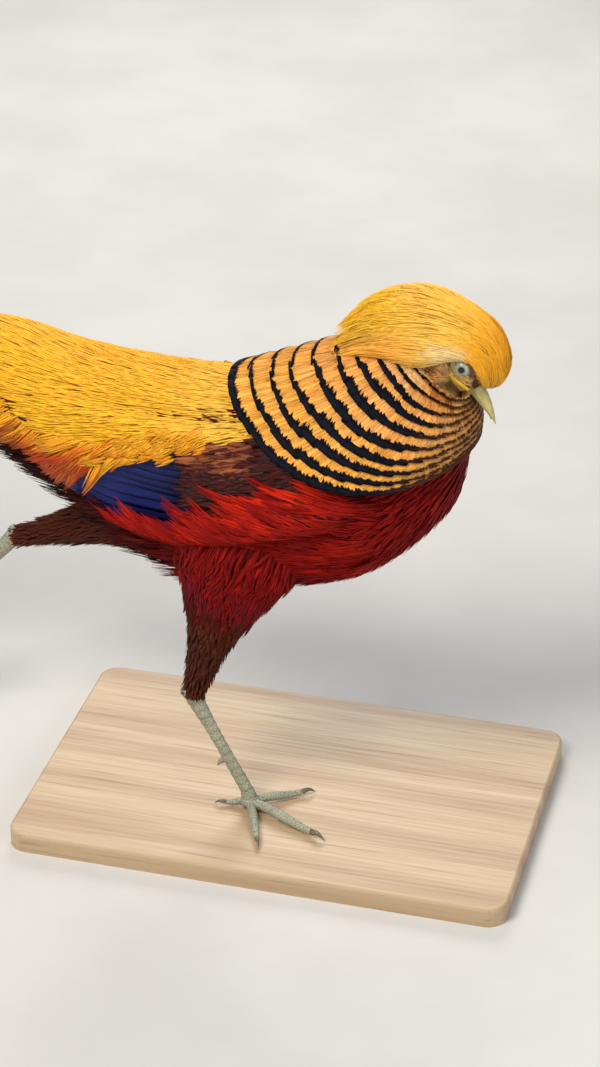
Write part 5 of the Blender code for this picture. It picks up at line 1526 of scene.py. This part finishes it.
def make_lids(side, looks):
    """The two lids as one almond-shaped ring, which hugs the eyeball and runs out on the face."""
    made = bmesh.new()
    rows = []
    tones = []
    for turn in full_turn(72):
        c, s = math.cos(turn), math.sin(turn)
        # Pointed in front and behind.
        half = (LID_HALF[0] * (1 + 0.10 * abs(c) ** 8), LID_HALF[1] * (1 - 0.22 * abs(c)))
        row = []
        for reach, over_ball, lift in LID_SECTION:
            x, z = half[0] * c * reach, half[1] * s * reach
            ball = EYE_AT.y + math.sqrt(max(EYE_RADIUS**2 - x * x - z * z, 0.0))
            skin = face_out(EYE_AT.x + x, EYE_AT.z + z)
            wrinkle = 0.00007 * math.sin(turn * 15 + reach * 9) * (reach > 1.05)
            y = ball * over_ball + skin * (1 - over_ball) + lift + wrinkle
            row.append(made.verts.new((EYE_AT.x + x, side * y, EYE_AT.z + z)))
            # The lore's dark line runs along the upper lid in front.
            tones.append(smooth(0.55, 0.85, 0.35 * c + 0.95 * s) * smooth(1.0, 1.15, reach))
        rows.append(row)
    for a, b in zip(rows, rows[1:] + rows[:1]):
        join_rows(made, a, b)
    bmesh.ops.recalc_face_normals(made, faces=made.faces)
    mesh = finished(made, "lids")
    add_attribute(mesh, "tone", "FLOAT", np.array(tones))
    piece(f"lids_{SIDE_NAMES[side]}", in_head(mesh), looks)


def make_wattle(side, looks):
    """The small warty yellow wattle, a band that runs from the cheek to the corner of the bill."""
    steps = np.linspace(0, 1, 34)
    line = curve(WATTLE, steps * (len(WATTLE) - 1))
    draw = np.random.default_rng(33)
    bumps = draw.uniform((0.0, -1.0), (1.0, 1.0), (46, 2))
    rings = []
    for step, (x, z) in zip(steps, line):
        size = WATTLE_HALF * (math.sin(math.pi * (0.06 + 0.88 * step)) ** 0.5)
        ring = []
        for turn in full_turn(22):
            across = math.cos(turn)
            near = np.min(np.hypot((bumps[:, 0] - step) * 7.5, bumps[:, 1] - across))
            wart = 0.00022 * float(smooth(0.30, 0.05, near))
            place_x, place_z = x + 0.42 * size * across, z + size * across * 0.95
            rise = (0.0011 + wart) * math.sin(turn) if math.sin(turn) > 0 else 0.0016 * math.sin(turn)
            ring.append(Vector((place_x, side * (face_out(place_x, place_z) + rise), place_z)))
        rings.append(ring)
    piece(f"wattle_{SIDE_NAMES[side]}", in_head(loft_mesh(rings)), looks)


def make_bill(upper, looks):
    """One half of the bill, with a rounded ridge, sharp edges and, above, the nostrils."""
    length = BILL_LENGTH * (1.0 if upper else LOWER_BILL_SHARE)
    rings = []
    for u in np.linspace(0, 1, 40):
        share = (1 - u**1.6) * 0.94 + 0.06
        mouth = BILL_MOUTH + BILL_LIFT * u - BILL_HOOK * 0.6 * u**3
        half_width = BILL_HALF_WIDTH * share
        depth = max(BILL_RISE * share if upper else BILL_DROP * share * 0.62, 0.0007)
        x = FACE_AT + 0.0003 - 0.0030 * (1 - smooth(0, 0.04, u)) + length * u
        ring = []
        for turn in full_turn(32):
            c, s = math.cos(turn), math.sin(turn)
            if upper:
                height = depth * (s if s > 0 else 0.06 * s)
                height *= 1 + 0.06 * max(s, 0) ** 8
            else:
                height = depth * (s if s < 0 else 0.06 * s)
            y = half_width * c * (1 - 0.10 * abs(s) ** 3)
            if upper and s > 0:
                from_nostril = math.hypot((x - FACE_AT - NOSTRIL_AT.x) / 1.9,
                                          (mouth + height - NOSTRIL_AT.z) / 0.7)
                y -= math.copysign(0.0009, y) * float(smooth(0.0011, 0.0004, from_nostril))
            ring.append(Vector((x, y, mouth + height + (0.00015 if upper else -0.00015))))
        rings.append(ring)
    name = "bill_upper" if upper else "bill_lower"
    piece(name + "_horn", in_head(loft_mesh(rings)), looks, (name,))


def tube_rings(path, radii, sides, side_axis, relief=None):
    """Rings of points along a path, with radii across and the other way, and a relief in metres."""
    rings = []
    for k, place in enumerate(path):
        along = (path[min(k + 1, len(path) - 1)] - path[max(k - 1, 0)]).normalized()
        other = along.cross(side_axis).normalized()
        sideways = other.cross(along).normalized()
        ring = []
        for turn in full_turn(sides):
            extra = relief(k / (len(path) - 1), turn) if relief else 0.0
            wide, deep = radii[k][0] + extra, radii[k][1] + extra
            ring.append(place + sideways * (wide * math.cos(turn)) + other * (deep * math.sin(turn)))
        rings.append(ring)
    return rings


def scute_relief(rows, height):
    """Overlapping scales along a leg, highest at their lower edge, in two columns."""
    def relief(share, turn):
        wave = (share * rows + (0.5 if math.cos(turn) > 0 else 0.0)) % 1.0
        return height * (scale_edge(wave, 0.88) - 0.5)

    return relief


def scale_edge(wave, drop):
    """The height of a scale along it, from 0 to 1, which falls off again after a share of it."""
    return float(smooth(0.0, 0.75, wave)) * (1 - float(smooth(drop, 1.0, wave)))


def ankle_and_foot(side):
    """Both ends of the bare leg."""
    ankle = LEGS[side][2]
    if side < 0:
        return ankle, FOOT_RIGHT
    turn = SHANK_LEFT_TURN
    return ankle, ankle + Vector((-math.cos(turn), 0, -math.sin(turn))) * SHANK_LENGTH


def make_shank(side, looks):
    """The bare leg, its scutes in front and behind, and its spur."""
    ankle, foot = ankle_and_foot(side)
    along = (foot - ankle).normalized()
    start, end = ankle - along * 0.0060, foot + along * 0.0012
    shares = np.linspace(0, 1, 150)
    path = [start + (end - start) * float(u) for u in shares]
    radii = curve(SHANK, shares * (len(SHANK) - 1)) - 0.0001
    rings = tube_rings(path, radii, 28, Vector((0, 1, 0)), scute_relief(15, 0.00034))
    parts = [loft_mesh(rings, (start - along * 0.001, end + along * 0.001))]
    back = along.cross(Vector((0, 1, 0)))
    if back.x > 0:
        back = -back
    root = ankle + along * (SHANK_LENGTH * 0.62)
    tip = root + (back * 0.9 + along * 0.25) * (SPUR_LENGTH + 0.003)
    steps = np.linspace(0, 0.97, 12)
    spur_path = [root + (tip - root) * float(u) - along * 0.0012 * math.sin(math.pi * u) for u in steps]
    spur_radii = [(0.0021 * (1 - u**1.5) + 0.0002, 0.0027 * (1 - u**1.5) + 0.0002) for u in steps]
    parts.append(loft_mesh(tube_rings(spur_path, spur_radii, 16, Vector((0, 1, 0))), (None, tip)))
    name = f"shank_{SIDE_NAMES[side]}"
    piece(name + "_scales", join_meshes(parts, name), looks, (name,))


def toe_path(foot, turn, length, droop, count):
    """A toe's middle line, arched and drooping."""
    ahead = Vector((math.cos(turn), math.sin(turn), 0))
    points = []
    for u in np.linspace(0, 1, count):
        reach = length * u
        arch = 0.0022 * math.sin(math.pi * min(u * 1.15, 1.0)) * (1 - u)
        drop = reach * math.sin(droop * u * 0.8)
        points.append(foot + ahead * (reach * math.cos(droop * u * 0.8)) + Vector((0, 0, arch - drop)))
    return points


def make_foot(side, looks, claw_looks):
    """The foot's toes with scutes above and pads below, and its claws."""
    ankle, foot = ankle_and_foot(side)
    droop = FOOT_DROOP[side]
    turned = Matrix.Rotation(FOOT_PITCH[side], 3, "Y")
    low = foot - Vector((0, 0, FOOT_SOLE))
    parts = []
    for toe, (degrees, length, radius) in TOES.items():
        turn = side * math.radians(degrees)
        start = low + Vector((0, 0, radius * 0.92))
        count = 70
        path = [foot + turned @ (p - foot) for p in toe_path(start, turn, length, droop, count)]
        across = turned @ Vector((-math.sin(turn), math.cos(turn), 0))
        shares = np.linspace(0, 1, count)
        swell = curve(TOE_PADS[:, None], shares * (len(TOE_PADS) - 1))[:, 0]
        radii = [(radius * p - 0.0001, radius * p * 0.92 - 0.0001) for p in swell]
        ahead = (path[-1] - path[-2]).normalized()
        rings = tube_rings(path, radii, 24, across, toe_relief(length, across, path, turned))
        parts.append(loft_mesh(rings, (None, path[-1] + ahead * radius * 0.4)))
        make_claw(side, toe, path, across, turned, radius, claw_looks)
    pad = bmesh.new()
    bmesh.ops.create_icosphere(pad, subdivisions=4, radius=1.0)
    middle = foot + turned @ (low + Vector((0, 0, 0.0042)) - foot)
    for v in pad.verts:
        v.co = middle + turned @ Vector((v.co.x * 0.0062, v.co.y * 0.0058, v.co.z * 0.0041))
    parts.append(finished(pad, "pad"))
    # From the pad up into the bare leg.
    up = (ankle - foot).normalized()
    shares = np.linspace(0, 1, 16)
    path = [middle + (foot + up * 0.004 - middle) * float(u) for u in shares]
    radii = [(0.0050 - 0.0014 * u, 0.0052 - 0.0014 * u) for u in shares]
    parts.append(loft_mesh(tube_rings(path, radii, 24, Vector((0, 1, 0)))))
    name = f"foot_{SIDE_NAMES[side]}"
    piece(name + "_scales", join_meshes(parts, name), looks, (name,))


def toe_relief(length, across, path, turned):
    """Scutes over the top of a toe and small pads below."""
    rows = length / 0.0026
    up = turned @ Vector((0, 0, 1))
    ahead = (path[1] - path[0]).normalized()
    top = ahead.cross(across).normalized().dot(up) > 0

    def relief(share, turn):
        above = math.sin(turn) if top else -math.sin(turn)
        wave = (share * rows) % 1.0
        over = 0.00026 * (scale_edge(wave, 0.86) - 0.5) * float(smooth(-0.2, 0.4, above))
        pads = 0.00012 * math.sin(share * rows * 2.0 * math.pi) * float(smooth(0.1, 0.6, -above))
        return over + pads

    return relief


def claw_rise(u, size):
    """How far the claw's middle line is over a straight one."""
    return size * (0.16 * math.sin(math.pi * u) - 0.20 * u * u)


def make_claw(side, toe, path, across, turned, radius, looks):
    """A curved claw, deep and narrow."""
    ahead = (path[-1] - path[-2]).normalized()
    down = across.cross(ahead)
    if (turned.inverted() @ down).z > 0:
        down = -down
    size = CLAW_LENGTH * radius / TOES["middle"][2]
    root = path[-1] + ahead * radius * 0.30
    rings = []
    steps = np.linspace(0, 1, 26)
    middle_line = [root + ahead * (size * float(u)) - down * claw_rise(u, size) for u in steps]
    for k, u in enumerate(steps):
        narrow = (1 - u**1.4) * 0.94 + 0.06
        wide, deep = radius * 0.50 * narrow, radius * 0.62 * narrow
        direction = (middle_line[min(k + 1, 25)] - middle_line[max(k - 1, 0)]).normalized()
        other = direction.cross(across).normalized()
        rings.append([middle_line[k] + across * (wide * math.cos(a)) + other * (deep * math.sin(a))
                      for a in full_turn(20)])
    tip = middle_line[-1] + direction * 0.0003
    node = f"claw_{SIDE_NAMES[side]}_{toe}"
    piece(node + "_horn", loft_mesh(rings, (None, tip)), looks, (node,))


# Materials.


class Nodes:
    """A material's nodes, made and linked by short calls."""

    def __init__(self, name, roughness, **constants):
        self.material = bpy.data.materials.new(name)
        self.material.use_nodes = True
        self.tree = self.material.node_tree
        self.shader = self.tree.nodes["Principled BSDF"]
        self.shader.inputs["Roughness"].default_value = roughness
        for key, value in constants.items():
            self.shader.inputs[key.replace("_", " ")].default_value = value

    def new(self, kind, **settings):
        node = self.tree.nodes.new(kind)
        for key, value in settings.items():
            setattr(node, key, value)
        return node

    def link(self, a, b):
        self.tree.links.new(a, b)

    def put(self, socket, value):
        if hasattr(value, "links"):
            self.link(value, socket)
        elif isinstance(value, tuple) and len(value) == 3 and socket.type == "RGBA":
            socket.default_value = (*value, 1)
        else:
            socket.default_value = value

    def attribute(self, name, output="Fac"):
        return self.new("ShaderNodeAttribute", attribute_name=name).outputs[output]

    def parts(self, vector):
        node = self.new("ShaderNodeSeparateXYZ")
        self.put(node.inputs[0], vector)
        return node.outputs

    def math(self, operation, a, b=0.0, clamp=False):
        node = self.new("ShaderNodeMath", operation=operation, use_clamp=clamp)
        self.put(node.inputs[0], a)
        self.put(node.inputs[1], b)
        return node.outputs[0]

    def step(self, value, low, high, to_low=0.0, to_high=1.0):
        node = self.new("ShaderNodeMapRange", interpolation_type="SMOOTHSTEP")
        for socket, number in zip(node.inputs[:5], (value, low, high, to_low, to_high)):
            self.put(socket, number)
        return node.outputs[0]

    def mix(self, share, a, b, blend="MIX"):
        node = self.new("ShaderNodeMix", data_type="RGBA", blend_type=blend)
        self.put(node.inputs["Factor"], share)
        self.put(node.inputs["A"], a)
        self.put(node.inputs["B"], b)
        return node.outputs["Result"]

    def noise(self, vector, scale, detail=3.0, roughness=0.55, output="Fac"):
        node = self.new("ShaderNodeTexNoise")
        if vector is not None:
            self.put(node.inputs["Vector"], vector)
        node.inputs["Scale"].default_value = scale
        node.inputs["Detail"].default_value = detail
        node.inputs["Roughness"].default_value = roughness
        return node.outputs[output]

    def join(self, x, y, z):
        node = self.new("ShaderNodeCombineXYZ")
        for socket, value in zip(node.inputs, (x, y, z)):
            self.put(socket, value)
        return node.outputs[0]

    def place(self):
        return self.new("ShaderNodeTexCoord").outputs["Object"]

    def stretched(self, numbers, factors):
        """A vector from three numbers, each times a factor."""
        return self.join(*[self.math("MULTIPLY", a, b) for a, b in zip(numbers, factors)])

    def voronoi(self, vector, scale, feature="F1", randomness=1.0):
        node = self.new("ShaderNodeTexVoronoi", feature=feature)
        self.put(node.inputs["Vector"], vector)
        node.inputs["Scale"].default_value = scale
        node.inputs["Randomness"].default_value = randomness
        return node.outputs["Distance"]

    def bump(self, height, strength, distance):
        node = self.new("ShaderNodeBump")
        node.inputs["Strength"].default_value = strength
        node.inputs["Distance"].default_value = distance
        self.put(node.inputs["Height"], height)
        self.link(node.outputs[0], self.shader.inputs["Normal"])

    def colour(self, value, light=None):
        """The base colour, times a number that lightens or darkens it."""
        if light is not None:
            value = self.mix(1.0, value, self.join(light, light, light), "MULTIPLY")
        self.put(self.shader.inputs["Base Color"], value)

    def roughness(self, value):
        self.put(self.shader.inputs["Roughness"], value)


def barbs(nodes, pitch, slant, jitter=0.35):
    """Fine barbs that run out from a feather's shaft towards its tip: a wave from -1 to 1."""
    across, along, tone = nodes.parts(nodes.attribute("span", "Vector"))
    slanted = nodes.math("SUBTRACT", along, nodes.math("MULTIPLY", nodes.math("ABSOLUTE", across), slant))
    grain = nodes.noise(nodes.join(across, along, tone), 420.0, 2.0)
    shifted = nodes.math("ADD", slanted, nodes.math("MULTIPLY", grain, pitch * jitter * 4))
    return nodes.math("SINE", nodes.math("MULTIPLY", shifted, 2 * math.pi / pitch))


def plumage(name, roughness, sheen, pitch, slant, strength, depth, streak, root_shade, gloss):
    """A feather's own colour with fine barbs and streaks along it, and painted shade that darkens its root.
    """
    nodes = Nodes(name, roughness, Sheen_Weight=sheen, Sheen_Roughness=0.4, Sheen_Tint=GOLDEN_SHEEN,
                  Specular_IOR_Level=gloss)
    across, along, tone = nodes.parts(nodes.attribute("vane", "Vector"))
    wave = barbs(nodes, pitch, slant)
    streaks = nodes.noise(nodes.stretched((across, along, tone), (2.2, 0.8, 40.0)), 3.0, 2.0)
    light = nodes.step(streaks, 0.25, 0.75, 1 - streak, 1 + streak)
    light = nodes.math("MULTIPLY", light, nodes.step(wave, -1, 1, 1 - 0.16 * strength, 1 + 0.10 * strength))
    # Painted shade towards the root, where the feathers over it lie.
    light = nodes.math("MULTIPLY", light, nodes.step(along, 0.0, 0.45, root_shade, 1.0))
    nodes.colour(nodes.attribute("paint", "Color"), light)
    nodes.bump(wave, strength, depth)
    return nodes.material


def tail_looks():
    """Buff spots on the dark middle pair, and slanting dark bars on the cinnamon others."""
    nodes = Nodes("tail_plumage", 0.52, Sheen_Weight=0.12, Sheen_Roughness=0.4)
    across, along, tone = nodes.parts(nodes.attribute("span", "Vector"))
    wave = barbs(nodes, 0.0008, 1.1)
    spots = nodes.voronoi(nodes.stretched((across, along, tone), (1.0, 0.8, 1.0)), 210.0, "F1", 0.65)
    mottle = nodes.step(spots, 0.30, 0.42, 1.0, 0.0)
    middle = nodes.mix(mottle, (0.020, 0.011, 0.008), (0.42, 0.20, 0.075))
    grain = nodes.noise(nodes.join(across, along, tone), 70.0, 3.0)
    slanted = nodes.math("SUBTRACT", along, nodes.math("MULTIPLY", nodes.math("ABSOLUTE", across), 1.1))
    slanted = nodes.math("ADD", slanted, nodes.math("MULTIPLY", grain, 0.012))
    bars = nodes.math("SINE", nodes.math("MULTIPLY", slanted, 2 * math.pi / 0.0105))
    barred = nodes.mix(nodes.step(bars, 0.05, 0.5), (0.36, 0.15, 0.05), (0.035, 0.016, 0.010))
    colour = nodes.mix(nodes.attribute("middle_pair"), barred, middle)
    shaft = nodes.step(nodes.math("ABSOLUTE", across), 0.0006, 0.0011, 1.0, 0.0)
    colour = nodes.mix(nodes.math("MULTIPLY", shaft, 0.7), colour, (0.16, 0.075, 0.03))
    nodes.colour(colour, nodes.step(wave, -1, 1, 0.88, 1.06))
    nodes.bump(wave, 0.5, 0.00014)
    return nodes.material


def skin_looks():
    """Skin and down in the colour of the feathers over them, darker: painted shade under the coat."""
    nodes = Nodes("skin_down", 0.8, Specular_IOR_Level=0.1)
    place = nodes.place()
    grain = nodes.noise(place, 900.0, 3.0)
    nodes.colour(nodes.attribute("paint", "Color"), nodes.step(grain, 0.3, 0.7, 0.75, 1.15))
    nodes.bump(grain, 0.6, 0.0004)
    return nodes.material


def iris_looks():
    """A cream iris with fine rays, a small black pupil, and a wet surface."""
    nodes = Nodes("eye_iris", 0.3, Specular_IOR_Level=0.2, Coat_Weight=1.0, Coat_Roughness=0.02,
                  Coat_IOR=1.35)
    turn = nodes.attribute("round")
    place = nodes.place()
    rays = nodes.noise(place, 1400.0, 2.0)
    iris = nodes.mix(nodes.step(rays, 0.3, 0.7), (0.30, 0.33, 0.29), (0.46, 0.50, 0.44))
    iris = nodes.mix(nodes.step(turn, 16.0, 26.0), (0.17, 0.18, 0.13), iris)
    iris = nodes.mix(nodes.step(turn, 44.0, 62.0), iris, (0.12, 0.13, 0.11))
    nodes.colour(nodes.mix(nodes.step(turn, 15.0, 17.0), (0.004, 0.004, 0.005), iris))
    nodes.bump(rays, 0.05, 0.0001)
    return nodes.material


def lid_looks():
    """Fine-grained yellowish skin, dark above where the lore's line runs."""
    nodes = Nodes("lid_skin", 0.5, Sheen_Weight=0.1)
    place = nodes.place()
    grain = nodes.noise(place, 1100.0, 3.0)
    pale = nodes.mix(nodes.step(grain, 0.35, 0.65), (0.30, 0.22, 0.06), (0.50, 0.37, 0.10))
    nodes.colour(nodes.mix(nodes.attribute("tone"), pale, (0.085, 0.025, 0.018)))
    nodes.bump(grain, 0.5, 0.0002)
    return nodes.material


def wattle_looks():
    """Yellow skin in small warts."""
    nodes = Nodes("wattle_skin", 0.42, Subsurface_Weight=0.1, Subsurface_Scale=0.002)
    cells = nodes.voronoi(nodes.place(), 1500.0)
    nodes.colour(nodes.mix(nodes.step(cells, 0.1, 0.6), (0.92, 0.68, 0.05), (0.70, 0.42, 0.03)))
    nodes.bump(cells, 0.5, -0.00025)
    return nodes.material


def horn_looks(name, pale, dark, roughness, scale):
    """Horn with faint mottling."""
    nodes = Nodes(name, roughness, Coat_Weight=0.2, Coat_Roughness=0.25)
    place = nodes.place()
    grain = nodes.noise(place, scale, 3.0)
    fine = nodes.noise(place, scale * 6, 2.0)
    nodes.colour(nodes.mix(nodes.step(grain, 0.3, 0.7), pale, dark))
    nodes.roughness(nodes.step(fine, 0.3, 0.7, roughness - 0.08, roughness + 0.12))
    nodes.bump(fine, 0.25, 0.00012)
    return nodes.material


def scale_looks():
    """Pale grey-green scales, darker in the grooves between them."""
    nodes = Nodes("leg_scale_skin", 0.48)
    place = nodes.place()
    wide = nodes.noise(place, 90.0, 3.0)
    groove = nodes.step(nodes.voronoi(place, 620.0, "DISTANCE_TO_EDGE"), 0.0, 0.14)
    colour = nodes.mix(nodes.step(wide, 0.3, 0.7), (0.40, 0.40, 0.28), (0.30, 0.33, 0.25))
    colour = nodes.mix(groove, (0.20, 0.17, 0.10), colour)
    nodes.colour(colour)
    fine = nodes.noise(place, 1600.0, 2.0)
    nodes.roughness(nodes.step(fine, 0.3, 0.7, 0.38, 0.60))
    nodes.bump(groove, 0.35, 0.00018)
    return nodes.material


def wood_looks():
    """Pale wood with grain along it, planed smooth and lightly oiled."""
    nodes = Nodes("base_oak", 0.45, Coat_Weight=0.08, Coat_Roughness=0.35)
    place = nodes.parts(nodes.place())
    warp = nodes.noise(nodes.stretched(place, (0.9, 13.0, 13.0)), 2.0, 2.0)
    rings = nodes.math("ADD", nodes.math("MULTIPLY", place[1], 160.0), nodes.math("MULTIPLY", warp, 14.0))
    wave = nodes.math("SINE", rings)
    pores = nodes.noise(nodes.stretched(place, (12.0, 500.0, 500.0)), 1.0, 3.0)
    colour = nodes.mix(nodes.step(wave, -1, 1), (0.52, 0.37, 0.22), (0.43, 0.28, 0.155))
    colour = nodes.mix(nodes.step(pores, 0.60, 0.72, 0.0, 0.55), colour, (0.22, 0.13, 0.065))
    nodes.colour(colour)
    nodes.roughness(nodes.step(pores, 0.3, 0.7, 0.38, 0.55))
    nodes.bump(pores, 0.12, -0.0003)
    return nodes.material


def floor_looks():
    """A plain pale floor with faint clouds."""
    nodes = Nodes("studio_floor", 0.85)
    grain = nodes.noise(nodes.place(), 6.0, 4.0)
    nodes.colour(nodes.mix(nodes.step(grain, 0.3, 0.7), (0.60, 0.585, 0.56), (0.66, 0.645, 0.62)))
    return nodes.material


# The studio.


def make_camera():
    """The camera of the photo."""
    data = bpy.data.cameras.new("camera")
    data.lens = CAMERA_LENS
    data.sensor_width = 36.0
    camera = bpy.data.objects.new("camera", data)
    camera.location = CAMERA_PLACE
    camera.rotation_euler = (CAMERA_AIM - CAMERA_PLACE).to_track_quat("-Z", "Y").to_euler()
    bpy.context.scene.collection.objects.link(camera)
    bpy.context.scene.camera = camera


def area_light(name, place, aim, size, power, colour):
    """A round soft light."""
    data = bpy.data.lights.new(name, "AREA")
    data.shape = "DISK"
    data.size = size
    data.energy = power
    data.color = colour
    light = bpy.data.objects.new(name, data)
    light.location = place
    light.rotation_euler = (Vector(aim) - Vector(place)).to_track_quat("-Z", "Y").to_euler()
    bpy.context.scene.collection.objects.link(light)


def make_studio():
    """The floor, the sky and the lights."""
    made = bmesh.new()
    bmesh.ops.create_grid(made, x_segments=2, y_segments=2, size=FLOOR_REACH)
    floor = bpy.data.objects.new("floor", finished(made, "floor"))
    bpy.context.scene.collection.objects.link(floor)
    floor.data.materials.append(floor_looks())
    world = bpy.data.worlds.new("studio")
    world.use_nodes = True
    world.node_tree.nodes["Background"].inputs["Color"].default_value = SKY
    world.node_tree.nodes["Background"].inputs["Strength"].default_value = SKY_STRENGTH
    bpy.context.scene.world = world
    for light in LIGHTS:
        area_light(*light)
    bpy.context.scene.view_settings.view_transform = "Standard"


def make_skin(mesh, looks):
    """The skin takes the colour of the nearest feather's root, darker: painted shade under the coat."""
    points = np.vstack([p for p, _ in COAT_ROOTS])
    colours = np.vstack([c for _, c in COAT_ROOTS])
    tree = KDTree(len(points))
    for k, point in enumerate(points):
        tree.insert(point, k)
    tree.balance()
    near = [tree.find(v.co)[1] for v in mesh.vertices]
    # Painted shade: the skin lies under the coat.
    paint = np.clip(colours[near] * 0.55, 0, 1)
    add_attribute(mesh, "paint", "FLOAT_COLOR", np.column_stack([paint, np.ones(len(paint))]))
    piece("skin", mesh, looks, ("torso", "neck", "head", "thigh_right", "thigh_left"))


def main():
    """Makes the studio, the coat, the skin under it and the bare parts, and oils the base."""
    make_camera()
    make_studio()
    looks = {name: plumage(f"{name}_plumage", *row) for name, row in PLUMAGE.items()}
    crest_plumes(looks["silky"])
    cape_feathers(looks["cape"], looks["bar"])
    back_plumes(looks["golden"])
    edge_plumes(looks["golden"])
    body_feathers(looks["soft"])
    vent_plumes(looks["loose"])
    flank_plumes(looks["loose"])
    wing_feathers(looks["wing"])
    shoulder_feathers(looks["wing"])
    leg_feathers(looks["loose"])
    face_feathers(looks["silky"])
    skin = skin_mesh()
    cheek_feathers(skin, looks["silky"])
    tail_feathers(tail_looks())
    tail_coverts(looks["golden"])
    make_skin(skin, skin_looks())
    iris, lids, wattles = iris_looks(), lid_looks(), wattle_looks()
    bill = horn_looks("bill_horn", (0.60, 0.50, 0.17), (0.42, 0.34, 0.12), 0.36, 260.0)
    claws = horn_looks("claw_horn", (0.20, 0.155, 0.10), (0.10, 0.075, 0.05), 0.34, 400.0)
    scales = scale_looks()
    for side in SIDES:
        make_eye(side, iris)
        make_lids(side, lids)
        make_wattle(side, wattles)
        make_shank(side, scales)
        make_foot(side, scales, claws)
    for upper in (True, False):
        make_bill(upper, bill)
    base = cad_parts["stand_base"]
    base.data.materials.clear()
    base.data.materials.append(wood_looks())


main()
